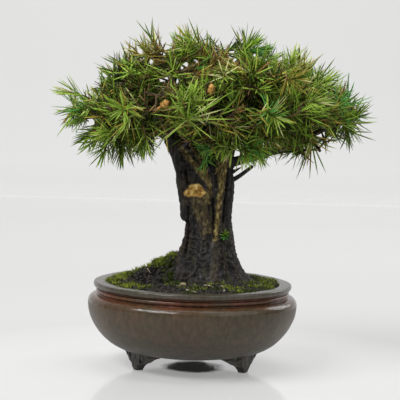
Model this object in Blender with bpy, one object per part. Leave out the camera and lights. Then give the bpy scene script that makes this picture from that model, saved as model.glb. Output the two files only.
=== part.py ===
"""A needle juniper bonsai in a round pot on three feet.

Lengths are in metres, +Z is up and the front faces -Y. The pot stands on the plane z = 0.
The origin lies there, under the middle of the whole tree's box, so the pot's axis is left of it.
Places below are measured from a point on the pot's axis that lies a little above the plane, and
pot_point() turns them into the part's frame.
"""

import math
import random

import bmesh
import bpy
import numpy as np
from mathutils import Vector

MM = 0.001

# The point on the pot's axis that heights are measured from, where the soles lie below it, and
# the gap kept between pieces that touch
POT_AXIS = Vector((-8.2, -0.4, 1.5)) * MM
SOLE_LEVEL = -1.5 * MM
GAP = 0.3 * MM

# Pot: a wide turned bowl with a flat lip, a bead under it and a round belly
POT_HEIGHT = 45.6 * MM
LIP_RADIUS = 54.7 * MM
LIP_INNER_RADIUS = 47.6 * MM
LIP_THICKNESS = 2.8 * MM
BELLY_RADIUS = 57.4 * MM
BASE_RADIUS = 33.0 * MM
BASE_HEIGHT = 7.7 * MM
POT_SEGMENTS = 42

# Feet: three brackets under the base, two of them in front
FOOT_RADIUS = 32.8 * MM
FOOT_TURNS = {"foot_front_left": -150, "foot_front_right": -30, "foot_back": 90}
FOOT_WING = 15.0 * MM
FOOT_SOLE = 2.6 * MM
FOOT_DEPTH = 8.0 * MM

# Ground: soil up to a flat level, with a mossy mound on it that climbs the trunk's left side
SOIL_LEVEL = 43.7 * MM
MOSS_EDGE = 45.2 * MM
MOSS_MOUND = 4.5 * MM
MOSS_RIDGE = 16.5 * MM
MOSS_RIDGE_LENGTH = 38.0 * MM
MOSS_RIDGE_WIDTH = 11.0 * MM
CUSHION_SPACING = 11.0 * MM
CUSHION_HEIGHT = 0.8 * MM
TRUNK_FOOT = SOIL_LEVEL + GAP

# Trunk: height, middle, half width and half depth, from the cut at the soil to the fork
TRUNK_STATIONS = (
    (TRUNK_FOOT, 7.0 * MM, 25.0 * MM, 20.0 * MM),
    (48.0 * MM, 7.0 * MM, 22.5 * MM, 18.5 * MM),
    (52.0 * MM, 6.8 * MM, 19.3 * MM, 16.8 * MM),
    (57.0 * MM, 6.7 * MM, 17.0 * MM, 15.2 * MM),
    (63.0 * MM, 7.3 * MM, 14.9 * MM, 14.0 * MM),
    (70.0 * MM, 8.0 * MM, 13.3 * MM, 12.9 * MM),
    (76.0 * MM, 7.9 * MM, 12.5 * MM, 12.3 * MM),
    (79.2 * MM, 7.7 * MM, 12.3 * MM, 12.1 * MM),
    (80.8 * MM, 6.9 * MM, 13.1 * MM, 12.1 * MM),
    (87.0 * MM, 6.3 * MM, 13.9 * MM, 11.9 * MM),
    (93.0 * MM, 5.8 * MM, 15.0 * MM, 11.8 * MM),
    (99.0 * MM, 5.3 * MM, 15.6 * MM, 11.7 * MM),
    (105.0 * MM, 4.7 * MM, 15.4 * MM, 11.3 * MM),
    (110.0 * MM, 4.8 * MM, 14.6 * MM, 10.0 * MM),
    (113.5 * MM, 5.0 * MM, 11.6 * MM, 7.4 * MM),
)
TRUNK_SIDES = 28
ROOT_LOBES = 5
ROOT_FLARE = 0.16
ROOT_FLARE_HEIGHT = 12.0 * MM

# Ribs that run up the trunk: the turn of each, its half width, and how far it stands out. They
# lean round the trunk by an angle for each millimetre of height, and it is drawn in between them
TRUNK_RIBS = (
    (-154, 16, 1.3 * MM),
    (-103, 15, 1.0 * MM),
    (-64, 11, 1.7 * MM),
    (-26, 16, 1.4 * MM),
    (13, 16, 1.4 * MM),
    (64, 16, 1.5 * MM),
    (116, 16, 1.4 * MM),
    (154, 15, 1.4 * MM),
)
RIB_LEAN_DEG = 0.4
RIB_LEVEL = 85.0 * MM
RIB_REST = 0.7 * MM

# Crown: an umbrella whose plan is an ellipse. Dips in its top are (middle, width, depth), and
# tufts that hang below it are (middle, width, drop), all in millimetres
CROWN_MIDDLE_X = 9.6 * MM
CROWN_HALF_WIDTH = 88.0 * MM
CROWN_HALF_DEPTH = 62.0 * MM
CROWN_EDGE_TOP = 150.0 * MM
CROWN_DOME = 39.0 * MM
CROWN_DIPS = ((10.0, 11.0, 8.0), (-61.0, 9.0, 12.0), (45.0, 9.0, 6.0))
CROWN_UNDERSIDE = 115.0 * MM
CROWN_EDGE_LIFT = 16.0 * MM
HANGING_TUFTS = ((64.0, 8.0, 9.0), (-46.0, 11.0, 5.5))

# Limbs: name, what it grows from, how far along that, its tip, its leaving and arriving
# directions, and its radii at both ends
LIMBS = (
    ("left_leader", "trunk", (0, 0, 98), (-24, 3, 150), (-0.40, 0, 0.92), (-0.25, 0.05, 0.95), 7.6, 2.6),
    ("right_leader", "trunk", (12.5, 0, 98), (28, 2, 153), (0.02, 0, 1), (0.40, 0, 0.90), 7.4, 2.4),
    ("right_tip", "right_leader", 0.22, (73, 2, 133), (0.96, -0.05, 0.18), (0.85, 0.02, 0.45), 3.0, 1.2),
    ("left_tip", "left_leader", 0.48, (-50, 1, 140), (-0.85, 0, 0.45), (-0.98, 0, 0.10), 3.0, 1.2),
    ("left_low", "left_tip", 0.40, (-42, -14, 130), (-0.55, -0.75, -0.1), (-0.75, -0.55, -0.25), 1.9, 1.0),
    ("left_crown", "left_leader", 0.72, (-41, 2, 158), (-0.80, 0, 0.50), (-0.70, 0, 0.65), 2.2, 1.0),
    ("front_left", "left_leader", 0.45, (-24, -29, 139), (-0.25, -0.85, 0.25), (-0.30, -0.80, 0.45), 2.3, 1.0),
    ("back_left", "left_leader", 0.55, (-29, 28, 139), (-0.30, 0.85, 0.20), (-0.35, 0.80, 0.40), 2.3, 1.0),
    ("front_top_left", "left_leader", 0.74, (-12, -20, 158), (0.25, -0.75, 0.50), (0.20, -0.55, 0.80), 1.9, 0.9),
    ("back_top", "left_leader", 0.80, (-4, 23, 160), (0.35, 0.70, 0.50), (0.45, 0.50, 0.75), 1.9, 0.9),
    ("front_centre", "right_leader", 0.32, (6, -35, 137), (-0.20, -0.90, 0.20), (-0.05, -0.80, 0.50), 2.5, 1.1),
    ("back_centre", "right_leader", 0.42, (15, 34, 140), (0.05, 0.90, 0.25), (0.05, 0.80, 0.50), 2.3, 1.0),
    ("top_centre", "right_leader", 0.66, (8, -2, 160), (-0.60, -0.1, 0.60), (-0.25, 0, 0.95), 1.9, 0.9),
    ("front_top_right", "right_leader", 0.70, (29, -24, 155), (0.15, -0.80, 0.45), (0.20, -0.60, 0.75), 1.9, 0.9),
    ("right_crown", "right_leader", 0.55, (57, 3, 153), (0.80, 0.10, 0.45), (0.80, 0, 0.55), 2.4, 1.0),
    ("front_right", "right_tip", 0.38, (43, -29, 135), (0.35, -0.85, 0.15), (0.30, -0.80, 0.40), 1.9, 1.0),
    ("back_right", "right_tip", 0.45, (50, 29, 139), (0.35, 0.80, 0.30), (0.30, 0.75, 0.50), 1.9, 1.0),
    ("right_low", "right_tip", 0.72, (65, -9, 123), (0.50, -0.60, -0.45), (0.45, -0.40, -0.75), 1.4, 0.9),
    ("low_front", "right_leader", 0.16, (21, -21, 124), (0.15, -0.90, 0.25), (0.25, -0.85, 0.30), 1.7, 0.9),
    ("fork_front", "left_leader", 0.36, (-4, -20, 125), (0.15, -0.90, 0.20), (0.20, -0.85, 0.30), 1.6, 0.9),
)
DEAD_STUB = ((17.5, -1.5, 101), (31.0, -3.0, 110.4), 1.35, 0.85)

# Masses of foliage: one at the tip of each limb, about its own middle
MASS_MIDDLES = {
    "left_leader": (-21, 3, 171),
    "right_leader": (32, 3, 172),
    "right_tip": (86, 2, 139),
    "left_tip": (-66, 1, 142),
    "left_low": (-49, -17, 124),
    "left_crown": (-48, 2, 163),
    "front_left": (-29, -41, 142),
    "back_left": (-33, 41, 142),
    "front_top_left": (-12, -29, 166),
    "back_top": (-1, 30, 168),
    "front_centre": (6, -48, 142),
    "back_centre": (16, 47, 144),
    "top_centre": (7, -4, 171),
    "front_top_right": (31, -32, 163),
    "right_crown": (64, 3, 160),
    "front_right": (47, -41, 137),
    "back_right": (54, 41, 143),
    "right_low": (66, -13, 119),
    "low_front": (24, -28, 123),
    "fork_front": (-1, -27, 125),
}

# Twigs and sprays of needles
STEM_RADIUS = 1.0 * MM
TWIG_RADIUS = 0.7 * MM
SPRAY_SPACING = 12.0 * MM
SPRAYS_IN_A_MASS = 10
SPRAY_INSET = 8.5 * MM
SPRAY_CORE_RADIUS = 1.15 * MM
WHORL_SPACING = 2.6 * MM
WHORLS = 4
TIP_LENGTH = 2.2 * MM
NEEDLE_LENGTH = 13.0 * MM
NEEDLE_RADIUS = 0.5 * MM
NEEDLE_OVERSHOOT = 4.5 * MM


def pot_point(x, y, z):
    """A place measured in millimetres from the pot's axis, in the part's frame."""
    return POT_AXIS + Vector((x, y, z)) * MM


def material(name, colour, roughness, metallic=0.0):
    made = bpy.data.materials.new(name)
    made.use_nodes = True
    shader = made.node_tree.nodes["Principled BSDF"]
    shader.inputs["Base Color"].default_value = (*colour, 1.0)
    shader.inputs["Roughness"].default_value = roughness
    shader.inputs["Metallic"].default_value = metallic
    return made


def object_from(name, points, faces, finish=None):
    mesh = bpy.data.meshes.new(name)
    mesh.from_pydata([tuple(p) for p in points], [], faces)
    made = bpy.data.objects.new(name, mesh)
    bpy.context.scene.collection.objects.link(made)
    if finish:
        mesh.materials.append(finish)
    return made


def with_outward_faces(made):
    shape = bmesh.new()
    shape.from_mesh(made.data)
    bmesh.ops.recalc_face_normals(shape, faces=shape.faces)
    if shape.calc_volume(signed=True) < 0:
        bmesh.ops.reverse_faces(shape, faces=shape.faces)
    shape.to_mesh(made.data)
    shape.free()
    return made


def apply_modifiers(made):
    bpy.context.view_layer.update()
    graph = bpy.context.evaluated_depsgraph_get()
    mesh = bpy.data.meshes.new_from_object(made.evaluated_get(graph))
    made.modifiers.clear()
    made.data = mesh


def subtract(made, cutters):
    """Cuts each cutter out of an object."""
    for cutter in cutters:
        cut = made.modifiers.new("cut", "BOOLEAN")
        cut.operation = "DIFFERENCE"
        cut.object = cutter
    apply_modifiers(made)
    keep_largest_body(made)


def keep_largest_body(made):
    """Drops loose scraps, and the walls of hollows that fusing has sealed."""
    shape = bmesh.new()
    shape.from_mesh(made.data)
    bmesh.ops.dissolve_degenerate(shape, dist=1e-7, edges=shape.edges)
    unseen, bodies = set(shape.faces), []
    while unseen:
        body, edge_of_search = set(), [unseen.pop()]
        while edge_of_search:
            face = edge_of_search.pop()
            body.add(face)
            near = {f for edge in face.edges for f in edge.link_faces} & unseen
            unseen -= near
            edge_of_search.extend(near)
        bodies.append(body)
    largest = max(bodies, key=lambda body: sum(face.calc_area() for face in body))
    scraps = [face for body in bodies if body is not largest for face in body]
    bmesh.ops.delete(shape, geom=scraps, context="FACES")
    shape.to_mesh(made.data)
    shape.free()


def remove(things):
    for thing in things:
        bpy.data.objects.remove(thing)


def shade_smooth(made, angle_deg=40):
    made.data.shade_smooth()
    made.data.set_sharp_from_angle(angle=math.radians(angle_deg))


def frame_across(direction):
    """Two unit vectors across a direction."""
    side = direction.orthogonal().normalized()
    return side, direction.cross(side).normalized()


def tube(name, points, radii, sides, finish=None):
    """A limb of round section along the points, closed with flat ends."""
    rings, faces = [], []
    side = None
    for i, point in enumerate(points):
        ahead = points[min(i + 1, len(points) - 1)] - points[max(i - 1, 0)]
        ahead.normalize()
        side = frame_across(ahead)[0] if side is None else (side - ahead * side.dot(ahead)).normalized()
        other = ahead.cross(side)
        for k in range(sides):
            turn = 2 * math.pi * k / sides
            rings.append(point + (side * math.cos(turn) + other * math.sin(turn)) * radii[i])
    for i in range(len(points) - 1):
        for k in range(sides):
            low, high = i * sides, (i + 1) * sides
            faces.append((low + k, low + (k + 1) % sides, high + (k + 1) % sides, high + k))
    faces.append(tuple(range(sides))[::-1])
    faces.append(tuple(range((len(points) - 1) * sides, len(points) * sides)))
    return object_from(name, rings, faces, finish)


def turned(name, profile, finish=None, segments=POT_SEGMENTS):
    """Spins a profile of (radius, height) about the pot's axis. Its ends lie on the axis."""
    shape = bmesh.new()
    points = [shape.verts.new(POT_AXIS + Vector((r, 0, z))) for r, z in profile]
    edges = [shape.edges.new(pair) for pair in zip(points, points[1:])]
    bmesh.ops.spin(
        shape, geom=points + edges, cent=POT_AXIS, axis=(0, 0, 1), angle=2 * math.pi,
        steps=segments, use_merge=True,
    )
    bmesh.ops.remove_doubles(shape, verts=shape.verts, dist=1e-6)
    mesh = bpy.data.meshes.new(name)
    shape.to_mesh(mesh)
    shape.free()
    made = bpy.data.objects.new(name, mesh)
    bpy.context.scene.collection.objects.link(made)
    if finish:
        mesh.materials.append(finish)
    return with_outward_faces(made)


def belly_profile(grow=0.0):
    """The bowl's outside from the bead under the lip down to the base's edge."""
    shoulder = 35.0 * MM
    points = [(54.2 * MM, 38.3 * MM), (56.2 * MM, 37.4 * MM)]
    steps = 7
    for i in range(steps + 1):
        share = i / steps
        turn = math.radians(86) * share
        reach = BELLY_RADIUS - BASE_RADIUS
        fall = shoulder - BASE_HEIGHT
        points.append((BASE_RADIUS + reach * math.cos(turn) ** 1.05, shoulder - fall * math.sin(turn) ** 1.12))
    return [(r + grow, z - grow) for r, z in points]


def make_pot(finish):
    lip_edge = 0.7 * MM
    lip_under = POT_HEIGHT - LIP_THICKNESS
    outside = [
        (LIP_INNER_RADIUS + 0.4 * MM, POT_HEIGHT),
        (LIP_RADIUS - lip_edge, POT_HEIGHT),
        (LIP_RADIUS, POT_HEIGHT - lip_edge),
        (LIP_RADIUS, lip_under + lip_edge),
        (LIP_RADIUS - lip_edge, lip_under),
        (52.1 * MM, 42.3 * MM),
        (53.1 * MM, 41.0 * MM),
        (53.3 * MM, 39.7 * MM),
        (52.7 * MM, 38.6 * MM),
    ]
    inside = [
        (0.0, 13.0 * MM),
        (36.0 * MM, 14.0 * MM),
        (49.0 * MM, 24.0 * MM),
        (51.6 * MM, 34.0 * MM),
        (LIP_INNER_RADIUS, 39.0 * MM),
        (LIP_INNER_RADIUS, POT_HEIGHT - 0.4 * MM),
    ]
    base = [(BASE_RADIUS - 1.2 * MM, BASE_HEIGHT - 0.6 * MM), (0.0, BASE_HEIGHT - 0.6 * MM)]
    pot = turned("pot", inside + outside + belly_profile() + base, finish)
    shade_smooth(pot)
    return pot


def foot_outline():
    """Half of a foot's front, from its sole up to its wing's tip, as (sideways, height)."""
    top, web = 15.0 * MM, SOLE_LEVEL + 1.6 * MM
    curve = []
    steps = 5
    for i in range(steps + 1):
        share = i / steps
        sideways = FOOT_SOLE + 1.0 * MM + (FOOT_WING - FOOT_SOLE - 1.0 * MM) * share
        curve.append((sideways, web + 6.0 * MM * share**0.7))
    return [(FOOT_SOLE, SOLE_LEVEL)] + curve + [(FOOT_WING, top)]


def make_foot(name, turn_deg, finish, belly):
    """A bracket foot, narrow at its sole and wide at the bowl, cut clear of the bowl."""
    half = foot_outline()
    outline = [(-s, z) for s, z in reversed(half)] + half
    turn = math.radians(turn_deg)
    outward = Vector((math.cos(turn), math.sin(turn), 0))
    along = Vector((-math.sin(turn), math.cos(turn), 0))
    points, faces = [], []
    for near in (False, True):
        for sideways, height in outline:
            share = min((height - SOLE_LEVEL) / (13.5 * MM), 1.0)
            bend = FOOT_RADIUS * (1 - math.cos(sideways / FOOT_RADIUS))
            outer = FOOT_RADIUS + 2.9 * MM + 2.6 * MM * share
            inner = FOOT_RADIUS - 2.4 * MM - (FOOT_DEPTH - 5.3 * MM) * share
            reach = (inner if near else outer) - bend
            points.append(POT_AXIS + outward * reach + along * sideways + Vector((0, 0, height)))
    count = len(outline)
    faces.append(tuple(range(count)))
    faces.append(tuple(range(count, 2 * count))[::-1])
    for i in range(count):
        after = (i + 1) % count
        faces.append((i, i + count, after + count, after))
    foot = with_outward_faces(object_from(name, points, faces, finish))
    subtract(foot, [belly])
    return foot


def make_feet(finish):
    profile = belly_profile(grow=GAP)
    top = [(0.0, 60.0 * MM), (52.0 * MM, 60.0 * MM)]
    under = BASE_HEIGHT - 0.6 * MM - GAP
    bottom = [(BASE_RADIUS - 1.2 * MM + GAP, under), (0.0, under)]
    belly = turned("belly_cutter", top + profile + bottom)
    for name, turn_deg in FOOT_TURNS.items():
        make_foot(name, turn_deg, finish, belly)
    remove([belly])


def make_soil(finish):
    """The root ball that fills the bowl, flat on top."""
    profile = [
        (0.0, 13.0 * MM + GAP),
        (35.8 * MM, 14.0 * MM + GAP),
        (48.5 * MM, 24.2 * MM + GAP),
        (51.2 * MM, 34.0 * MM),
        (LIP_INNER_RADIUS - GAP, 38.8 * MM),
        (LIP_INNER_RADIUS - GAP, SOIL_LEVEL),
        (0.0, SOIL_LEVEL),
    ]
    turned("soil", profile, finish, segments=24)


def moss_height(x, y):
    """The moss's height over a place that is measured from the pot's axis."""
    from_trunk = math.hypot(x - 7.0 * MM, y)
    mound = MOSS_MOUND * math.exp(-((from_trunk / (22.0 * MM)) ** 2))
    along = min(max((-8.0 * MM - x) / MOSS_RIDGE_LENGTH, 0.0), 1.0)
    ridge = MOSS_RIDGE * (1 - along) ** 1.2 * math.exp(-((y / MOSS_RIDGE_WIDTH) ** 2))
    beyond = max(x - 2.0 * MM, 0.0) / (9.0 * MM)
    edge = min(max((45.0 * MM - math.hypot(x, y)) / (8.0 * MM), 0.0), 1.0)
    return MOSS_EDGE + edge * max(mound, ridge * math.exp(-(beyond**2))) + cushion_height(x, y)


def cushion_height(x, y):
    """Low cushions of moss that stand about one spacing apart."""
    across, deep = (2 * math.pi * place / CUSHION_SPACING for place in (x, y))
    wave = math.sin(across + 1.1 * math.sin(0.5 * deep)) * math.sin(deep + 1.3 * math.sin(0.4 * across))
    return CUSHION_HEIGHT * (0.4 + 0.6 * wave)


def make_moss(finish, trunk_cutter):
    """The mossy mound round the trunk's foot."""
    outer = LIP_INNER_RADIUS - GAP
    rings, spokes = 9, 36
    points, faces = [], []
    for level in range(2):
        points.append(POT_AXIS + Vector((0, 0, moss_height(0, 0) if level else TRUNK_FOOT)))
        for i in range(1, rings + 1):
            if not level and i < rings:
                continue
            for k in range(spokes):
                turn = 2 * math.pi * k / spokes
                reach = outer * i / rings
                x, y = reach * math.cos(turn), reach * math.sin(turn)
                points.append(POT_AXIS + Vector((x, y, moss_height(x, y) if level else TRUNK_FOOT)))
    top = 1 + spokes
    for k in range(spokes):
        after = (k + 1) % spokes
        faces.append((0, 1 + after, 1 + k))
        faces.append((top, top + 1 + k, top + 1 + after))
        for i in range(rings - 1):
            low, high = top + 1 + i * spokes, top + 1 + (i + 1) * spokes
            faces.append((low + k, high + k, high + after, low + after))
        rim = top + 1 + (rings - 1) * spokes
        faces.append((1 + k, 1 + after, rim + after, rim + k))
    moss = with_outward_faces(object_from("moss", points, faces, finish))
    subtract(moss, [trunk_cutter])
    moss.data.shade_smooth()


def rib_height(turn_deg):
    """How far the trunk's ribs lift its surface at a turn."""
    lift = -RIB_REST
    for middle, half_width, reach in TRUNK_RIBS:
        away = (turn_deg - middle + 180) % 360 - 180
        lift += reach * math.exp(-((away / half_width) ** 2))
    return lift


def trunk_shape(name, finish=None, grow=0.0):
    """The trunk, ribbed and with lobes where its roots spread, or grown and lengthened as a cutter."""
    stations = list(TRUNK_STATIONS)
    if grow:
        foot, top = stations[0], stations[-1]
        stations = [(foot[0] - 3.0 * MM, *foot[1:]), *stations, (top[0] + grow, *top[1:])]
    points, faces = [], []
    for height, middle, half_width, half_depth in stations:
        flare = ROOT_FLARE * math.exp(-max(height - TRUNK_FOOT, 0.0) / ROOT_FLARE_HEIGHT)
        lean = math.radians(RIB_LEAN_DEG * (height - RIB_LEVEL) / MM)
        for k in range(TRUNK_SIDES):
            turn = 2 * math.pi * k / TRUNK_SIDES
            lift = rib_height(math.degrees(turn)) + grow
            turn += lean
            lobe = 1 + flare * math.cos(ROOT_LOBES * turn + 0.6)
            x = middle + (half_width * lobe + lift) * math.cos(turn)
            y = (half_depth * lobe + lift) * math.sin(turn)
            points.append(POT_AXIS + Vector((x, y, height)))
    for i in range(len(stations) - 1):
        low, high = i * TRUNK_SIDES, (i + 1) * TRUNK_SIDES
        for k in range(TRUNK_SIDES):
            after = (k + 1) % TRUNK_SIDES
            faces.extend(((low + k, low + after, high + after), (low + k, high + after, high + k)))
    faces.append(tuple(range(TRUNK_SIDES))[::-1])
    faces.append(tuple(range(len(points) - TRUNK_SIDES, len(points))))
    return object_from(name, points, faces, finish)


class Limb:
    """A tapering limb: its points from root to tip, and its radius at each."""

    def __init__(self, points, radii):
        self.points = points
        self.radii = radii

    def at(self, share):
        place = share * (len(self.points) - 1)
        i = min(int(place), len(self.points) - 2)
        return self.points[i].lerp(self.points[i + 1], place - i)

    def heading(self):
        return (self.points[-1] - self.points[-2]).normalized()


def hermite(start, leave, end, arrive, share):
    """A point on the smooth curve between two places with given directions at both."""
    s2, s3 = share**2, share**3
    return (
        start * (2 * s3 - 3 * s2 + 1)
        + leave * (s3 - 2 * s2 + share)
        + end * (3 * s2 - 2 * s3)
        + arrive * (s3 - s2)
    )


def limb_between(start, end, leave, arrive, root_radius, tip_radius):
    span = (end - start).length
    steps = 3 if span < 30 * MM else 5
    leave = Vector(leave).normalized() * span
    arrive = Vector(arrive).normalized() * span * 0.8
    shares = [i / steps for i in range(steps + 1)]
    points = [hermite(start, leave, end, arrive, share) for share in shares]
    radii = [tip_radius + (root_radius - tip_radius) * (1 - share) ** 1.2 for share in shares]
    return Limb(points, radii)


def all_limbs():
    """Every limb by name, each rooted on the axis of what it grows from."""
    limbs = {}
    for name, parent, root, tip, leave, arrive, root_mm, tip_mm in LIMBS:
        start = pot_point(*root) if parent == "trunk" else limbs[parent].at(root)
        limbs[name] = limb_between(start, pot_point(*tip), leave, arrive, root_mm * MM, tip_mm * MM)
    return limbs


def make_limbs(limbs, finish, trunk_cutter):
    """Each limb as a solid that is cut clear of the trunk and of the limbs before it."""
    cutters = [trunk_cutter]
    for name, limb in limbs.items():
        sides = 10 if limb.radii[0] > 5 * MM else 6
        made = tube("bough_" + name, limb.points, limb.radii, sides, finish)
        subtract(made, cutters)
        made.data.shade_smooth()
        grown = [radius + GAP * 1.15 for radius in limb.radii]
        cutters.append(tube("cutter_" + name, limb.points, grown, sides))
    return cutters


def make_dead_stub(finish, cutters):
    root, tip, root_mm, tip_mm = DEAD_STUB
    start, end = pot_point(*root), pot_point(*tip)
    points = [start.lerp(end, share) for share in (0, 0.5, 1)]
    radii = [root_mm * MM, (root_mm + tip_mm) / 2 * MM, tip_mm * MM]
    stub = tube("dead_stub", points, radii, 7, finish)
    subtract(stub, cutters)
    return Limb(points, radii)


def gaussian(x, middle, width):
    return math.exp(-(((x - middle) / width) ** 2))


def crown_heights(x, y):
    """The crown's underside and top over a place measured from the pot's axis, or None outside it."""
    across = (x - CROWN_MIDDLE_X) / CROWN_HALF_WIDTH
    share = across**2 + (y / CROWN_HALF_DEPTH) ** 2
    if share >= 1:
        return None
    dip = sum(depth * MM * gaussian(x, middle * MM, width * MM) for middle, width, depth in CROWN_DIPS)
    drop = sum(fall * MM * gaussian(x, middle * MM, width * MM) for middle, width, fall in HANGING_TUFTS)
    drop *= gaussian(y, -10 * MM, 14 * MM)
    underside = CROWN_UNDERSIDE + CROWN_EDGE_LIFT * share**3
    return underside - drop, CROWN_EDGE_TOP + CROWN_DOME * (1 - share) - dip


def in_crown(point, margin):
    """Whether a point lies in the crown, at least margin inside its outline."""
    x, y, z = point - POT_AXIS
    wide = 1 + margin / CROWN_HALF_WIDTH
    heights = crown_heights(CROWN_MIDDLE_X + (x - CROWN_MIDDLE_X) * wide, y * wide)
    return heights is not None and heights[0] + margin <= z <= heights[1] - margin


class Cell:
    """The space of one mass: what lies nearer to its middle than to any other mass's."""

    def __init__(self, name):
        self.middle = pot_point(*MASS_MIDDLES[name])
        others = [pot_point(*place) for other, place in MASS_MIDDLES.items() if other != name]
        self.walls = []
        for other in others:
            normal = (other - self.middle).normalized()
            self.walls.append((normal, normal.dot((other + self.middle) / 2)))

    def holds(self, point, margin=GAP):
        return all(normal.dot(point) < reach - margin for normal, reach in self.walls)


def gaps_to_segments(a, b, starts, ends):
    """The shortest distance from the segment a-b to each of many other segments."""
    along, others = b - a, ends - starts
    between = a - starts
    own_square = max(along @ along, 1e-18)
    squares = np.maximum((others**2).sum(1), 1e-18)
    lean = (others * between).sum(1)
    own_lean = between @ along
    shared = others @ along
    spread = own_square * squares - shared**2
    apart = spread > 1e-20
    s = np.where(apart, (shared * lean - own_lean * squares) / np.where(apart, spread, 1.0), 0.0)
    t = np.clip((shared * np.clip(s, 0, 1) + lean) / squares, 0, 1)
    s = np.clip((shared * t - own_lean) / own_square, 0, 1)
    return np.linalg.norm(a + s[:, None] * along - starts - t[:, None] * others, axis=1)


class Obstacles:
    """Limbs, twigs and needles that new growth keeps clear of, as thick segments."""

    def __init__(self):
        self.rows = []

    def add(self, start, end, radius):
        self.rows.append((*start, *end, radius))

    def add_limb(self, limb):
        for i in range(len(limb.points) - 1):
            self.add(limb.points[i], limb.points[i + 1], max(limb.radii[i : i + 2]))

    def clear(self, start, end, radius):
        if not self.rows:
            return True
        rows = np.array(self.rows)
        gaps = gaps_to_segments(np.array(start), np.array(end), rows[:, 0:3], rows[:, 3:6])
        return bool((gaps > rows[:, 6] + radius + GAP).all())


def unit(rng):
    """A direction picked evenly from the sphere."""
    z, turn = rng.uniform(-1, 1), rng.uniform(0, 2 * math.pi)
    flat = math.sqrt(1 - z * z)
    return Vector((flat * math.cos(turn), flat * math.sin(turn), z))


def spray_places(cell, stem_end, limbs, rng):
    """Where a mass's sprays stand: spread through its cell, the outermost first."""
    places = []
    for _ in range(6000):
        reach = 27 * MM * rng.random() ** 0.4
        place = cell.middle + unit(rng) * reach
        if not in_crown(place, SPRAY_INSET) or not cell.holds(place, 2.5 * MM):
            continue
        if not limbs.clear(place, place, 2.5 * MM) or (place - stem_end).length < 6 * MM:
            continue
        if all((place - other).length > SPRAY_SPACING for other in places):
            places.append(place)
        if len(places) == SPRAYS_IN_A_MASS:
            break
    return sorted(places, key=lambda place: (place - stem_end).length)


def spray_shape(name, base, heading, cell, limbs, obstacles, own, rng):
    """A slim core in whorls of three, some of whose faces are drawn out into needles."""
    side, other = frame_across(heading)
    spin = rng.uniform(0, 2 * math.pi)
    points, faces, needles = [], [], []
    whorls = WHORLS
    while whorls > 1:
        tip_place = base + heading * (WHORL_SPACING * whorls + TIP_LENGTH)
        if cell.holds(tip_place, 1.8 * MM) and limbs.clear(base, tip_place, SPRAY_CORE_RADIUS):
            break
        whorls -= 1

    def radial(turn):
        return side * math.cos(turn) + other * math.sin(turn)

    for level in range(whorls + 1):
        radius = SPRAY_CORE_RADIUS * (1 - 0.12 * level)
        for k in range(3):
            turn = spin + math.pi / 3 * (2 * k + level)
            points.append(base + heading * WHORL_SPACING * level + radial(turn) * radius)
    tip = len(points)
    points.append(base + heading * (WHORL_SPACING * whorls + TIP_LENGTH))
    faces.append((2, 1, 0))
    for level in range(whorls + 1):
        low, high = 3 * level, 3 * (level + 1)
        for k in range(3):
            after = (k + 1) % 3
            peak = tip if level == whorls else high + k
            turn = spin + math.pi / 3 * (2 * k + 1 + level)
            lean = math.radians(68 - 11 * level + rng.uniform(-8, 8))
            length = NEEDLE_LENGTH * rng.uniform(0.82, 1.08)
            toward = heading * math.cos(lean) + radial(turn) * math.sin(lean)
            root = (points[low + k] + points[low + after] + points[peak]) / 3
            end = root + toward * length
            start = root + toward * 0.15 * length
            free = (
                cell.holds(end)
                and in_crown(end, -NEEDLE_OVERSHOOT)
                and obstacles.clear(start, end, NEEDLE_RADIUS)
            )
            if free:
                needle = len(points)
                points.append(end)
                faces.extend(((low + k, low + after, needle), (low + after, peak, needle), (peak, low + k, needle)))
                needles.append((start, end))
            else:
                faces.append((low + k, low + after, peak))
            if level < whorls:
                faces.append((low + after, high + after, high + k))
    for start, end in needles:
        own.append((start, end))
    return object_from(name, points, faces)


def fuse(name, pieces, finish):
    """Joins a mass's stem, twigs and sprays into one body."""
    gathered = bpy.data.collections.new("fused_" + name)
    bpy.context.scene.collection.children.link(gathered)
    for piece in pieces[1:]:
        bpy.context.scene.collection.objects.unlink(piece)
        gathered.objects.link(piece)
    joined = pieces[0]
    joined.name = name
    union = joined.modifiers.new("join", "BOOLEAN")
    union.operation = "UNION"
    union.operand_type = "COLLECTION"
    union.collection = gathered
    union.solver = "EXACT"
    apply_modifiers(joined)
    remove(list(gathered.objects))
    bpy.data.collections.remove(gathered)
    keep_largest_body(joined)
    joined.data.materials.clear()
    joined.data.materials.append(finish)


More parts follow.
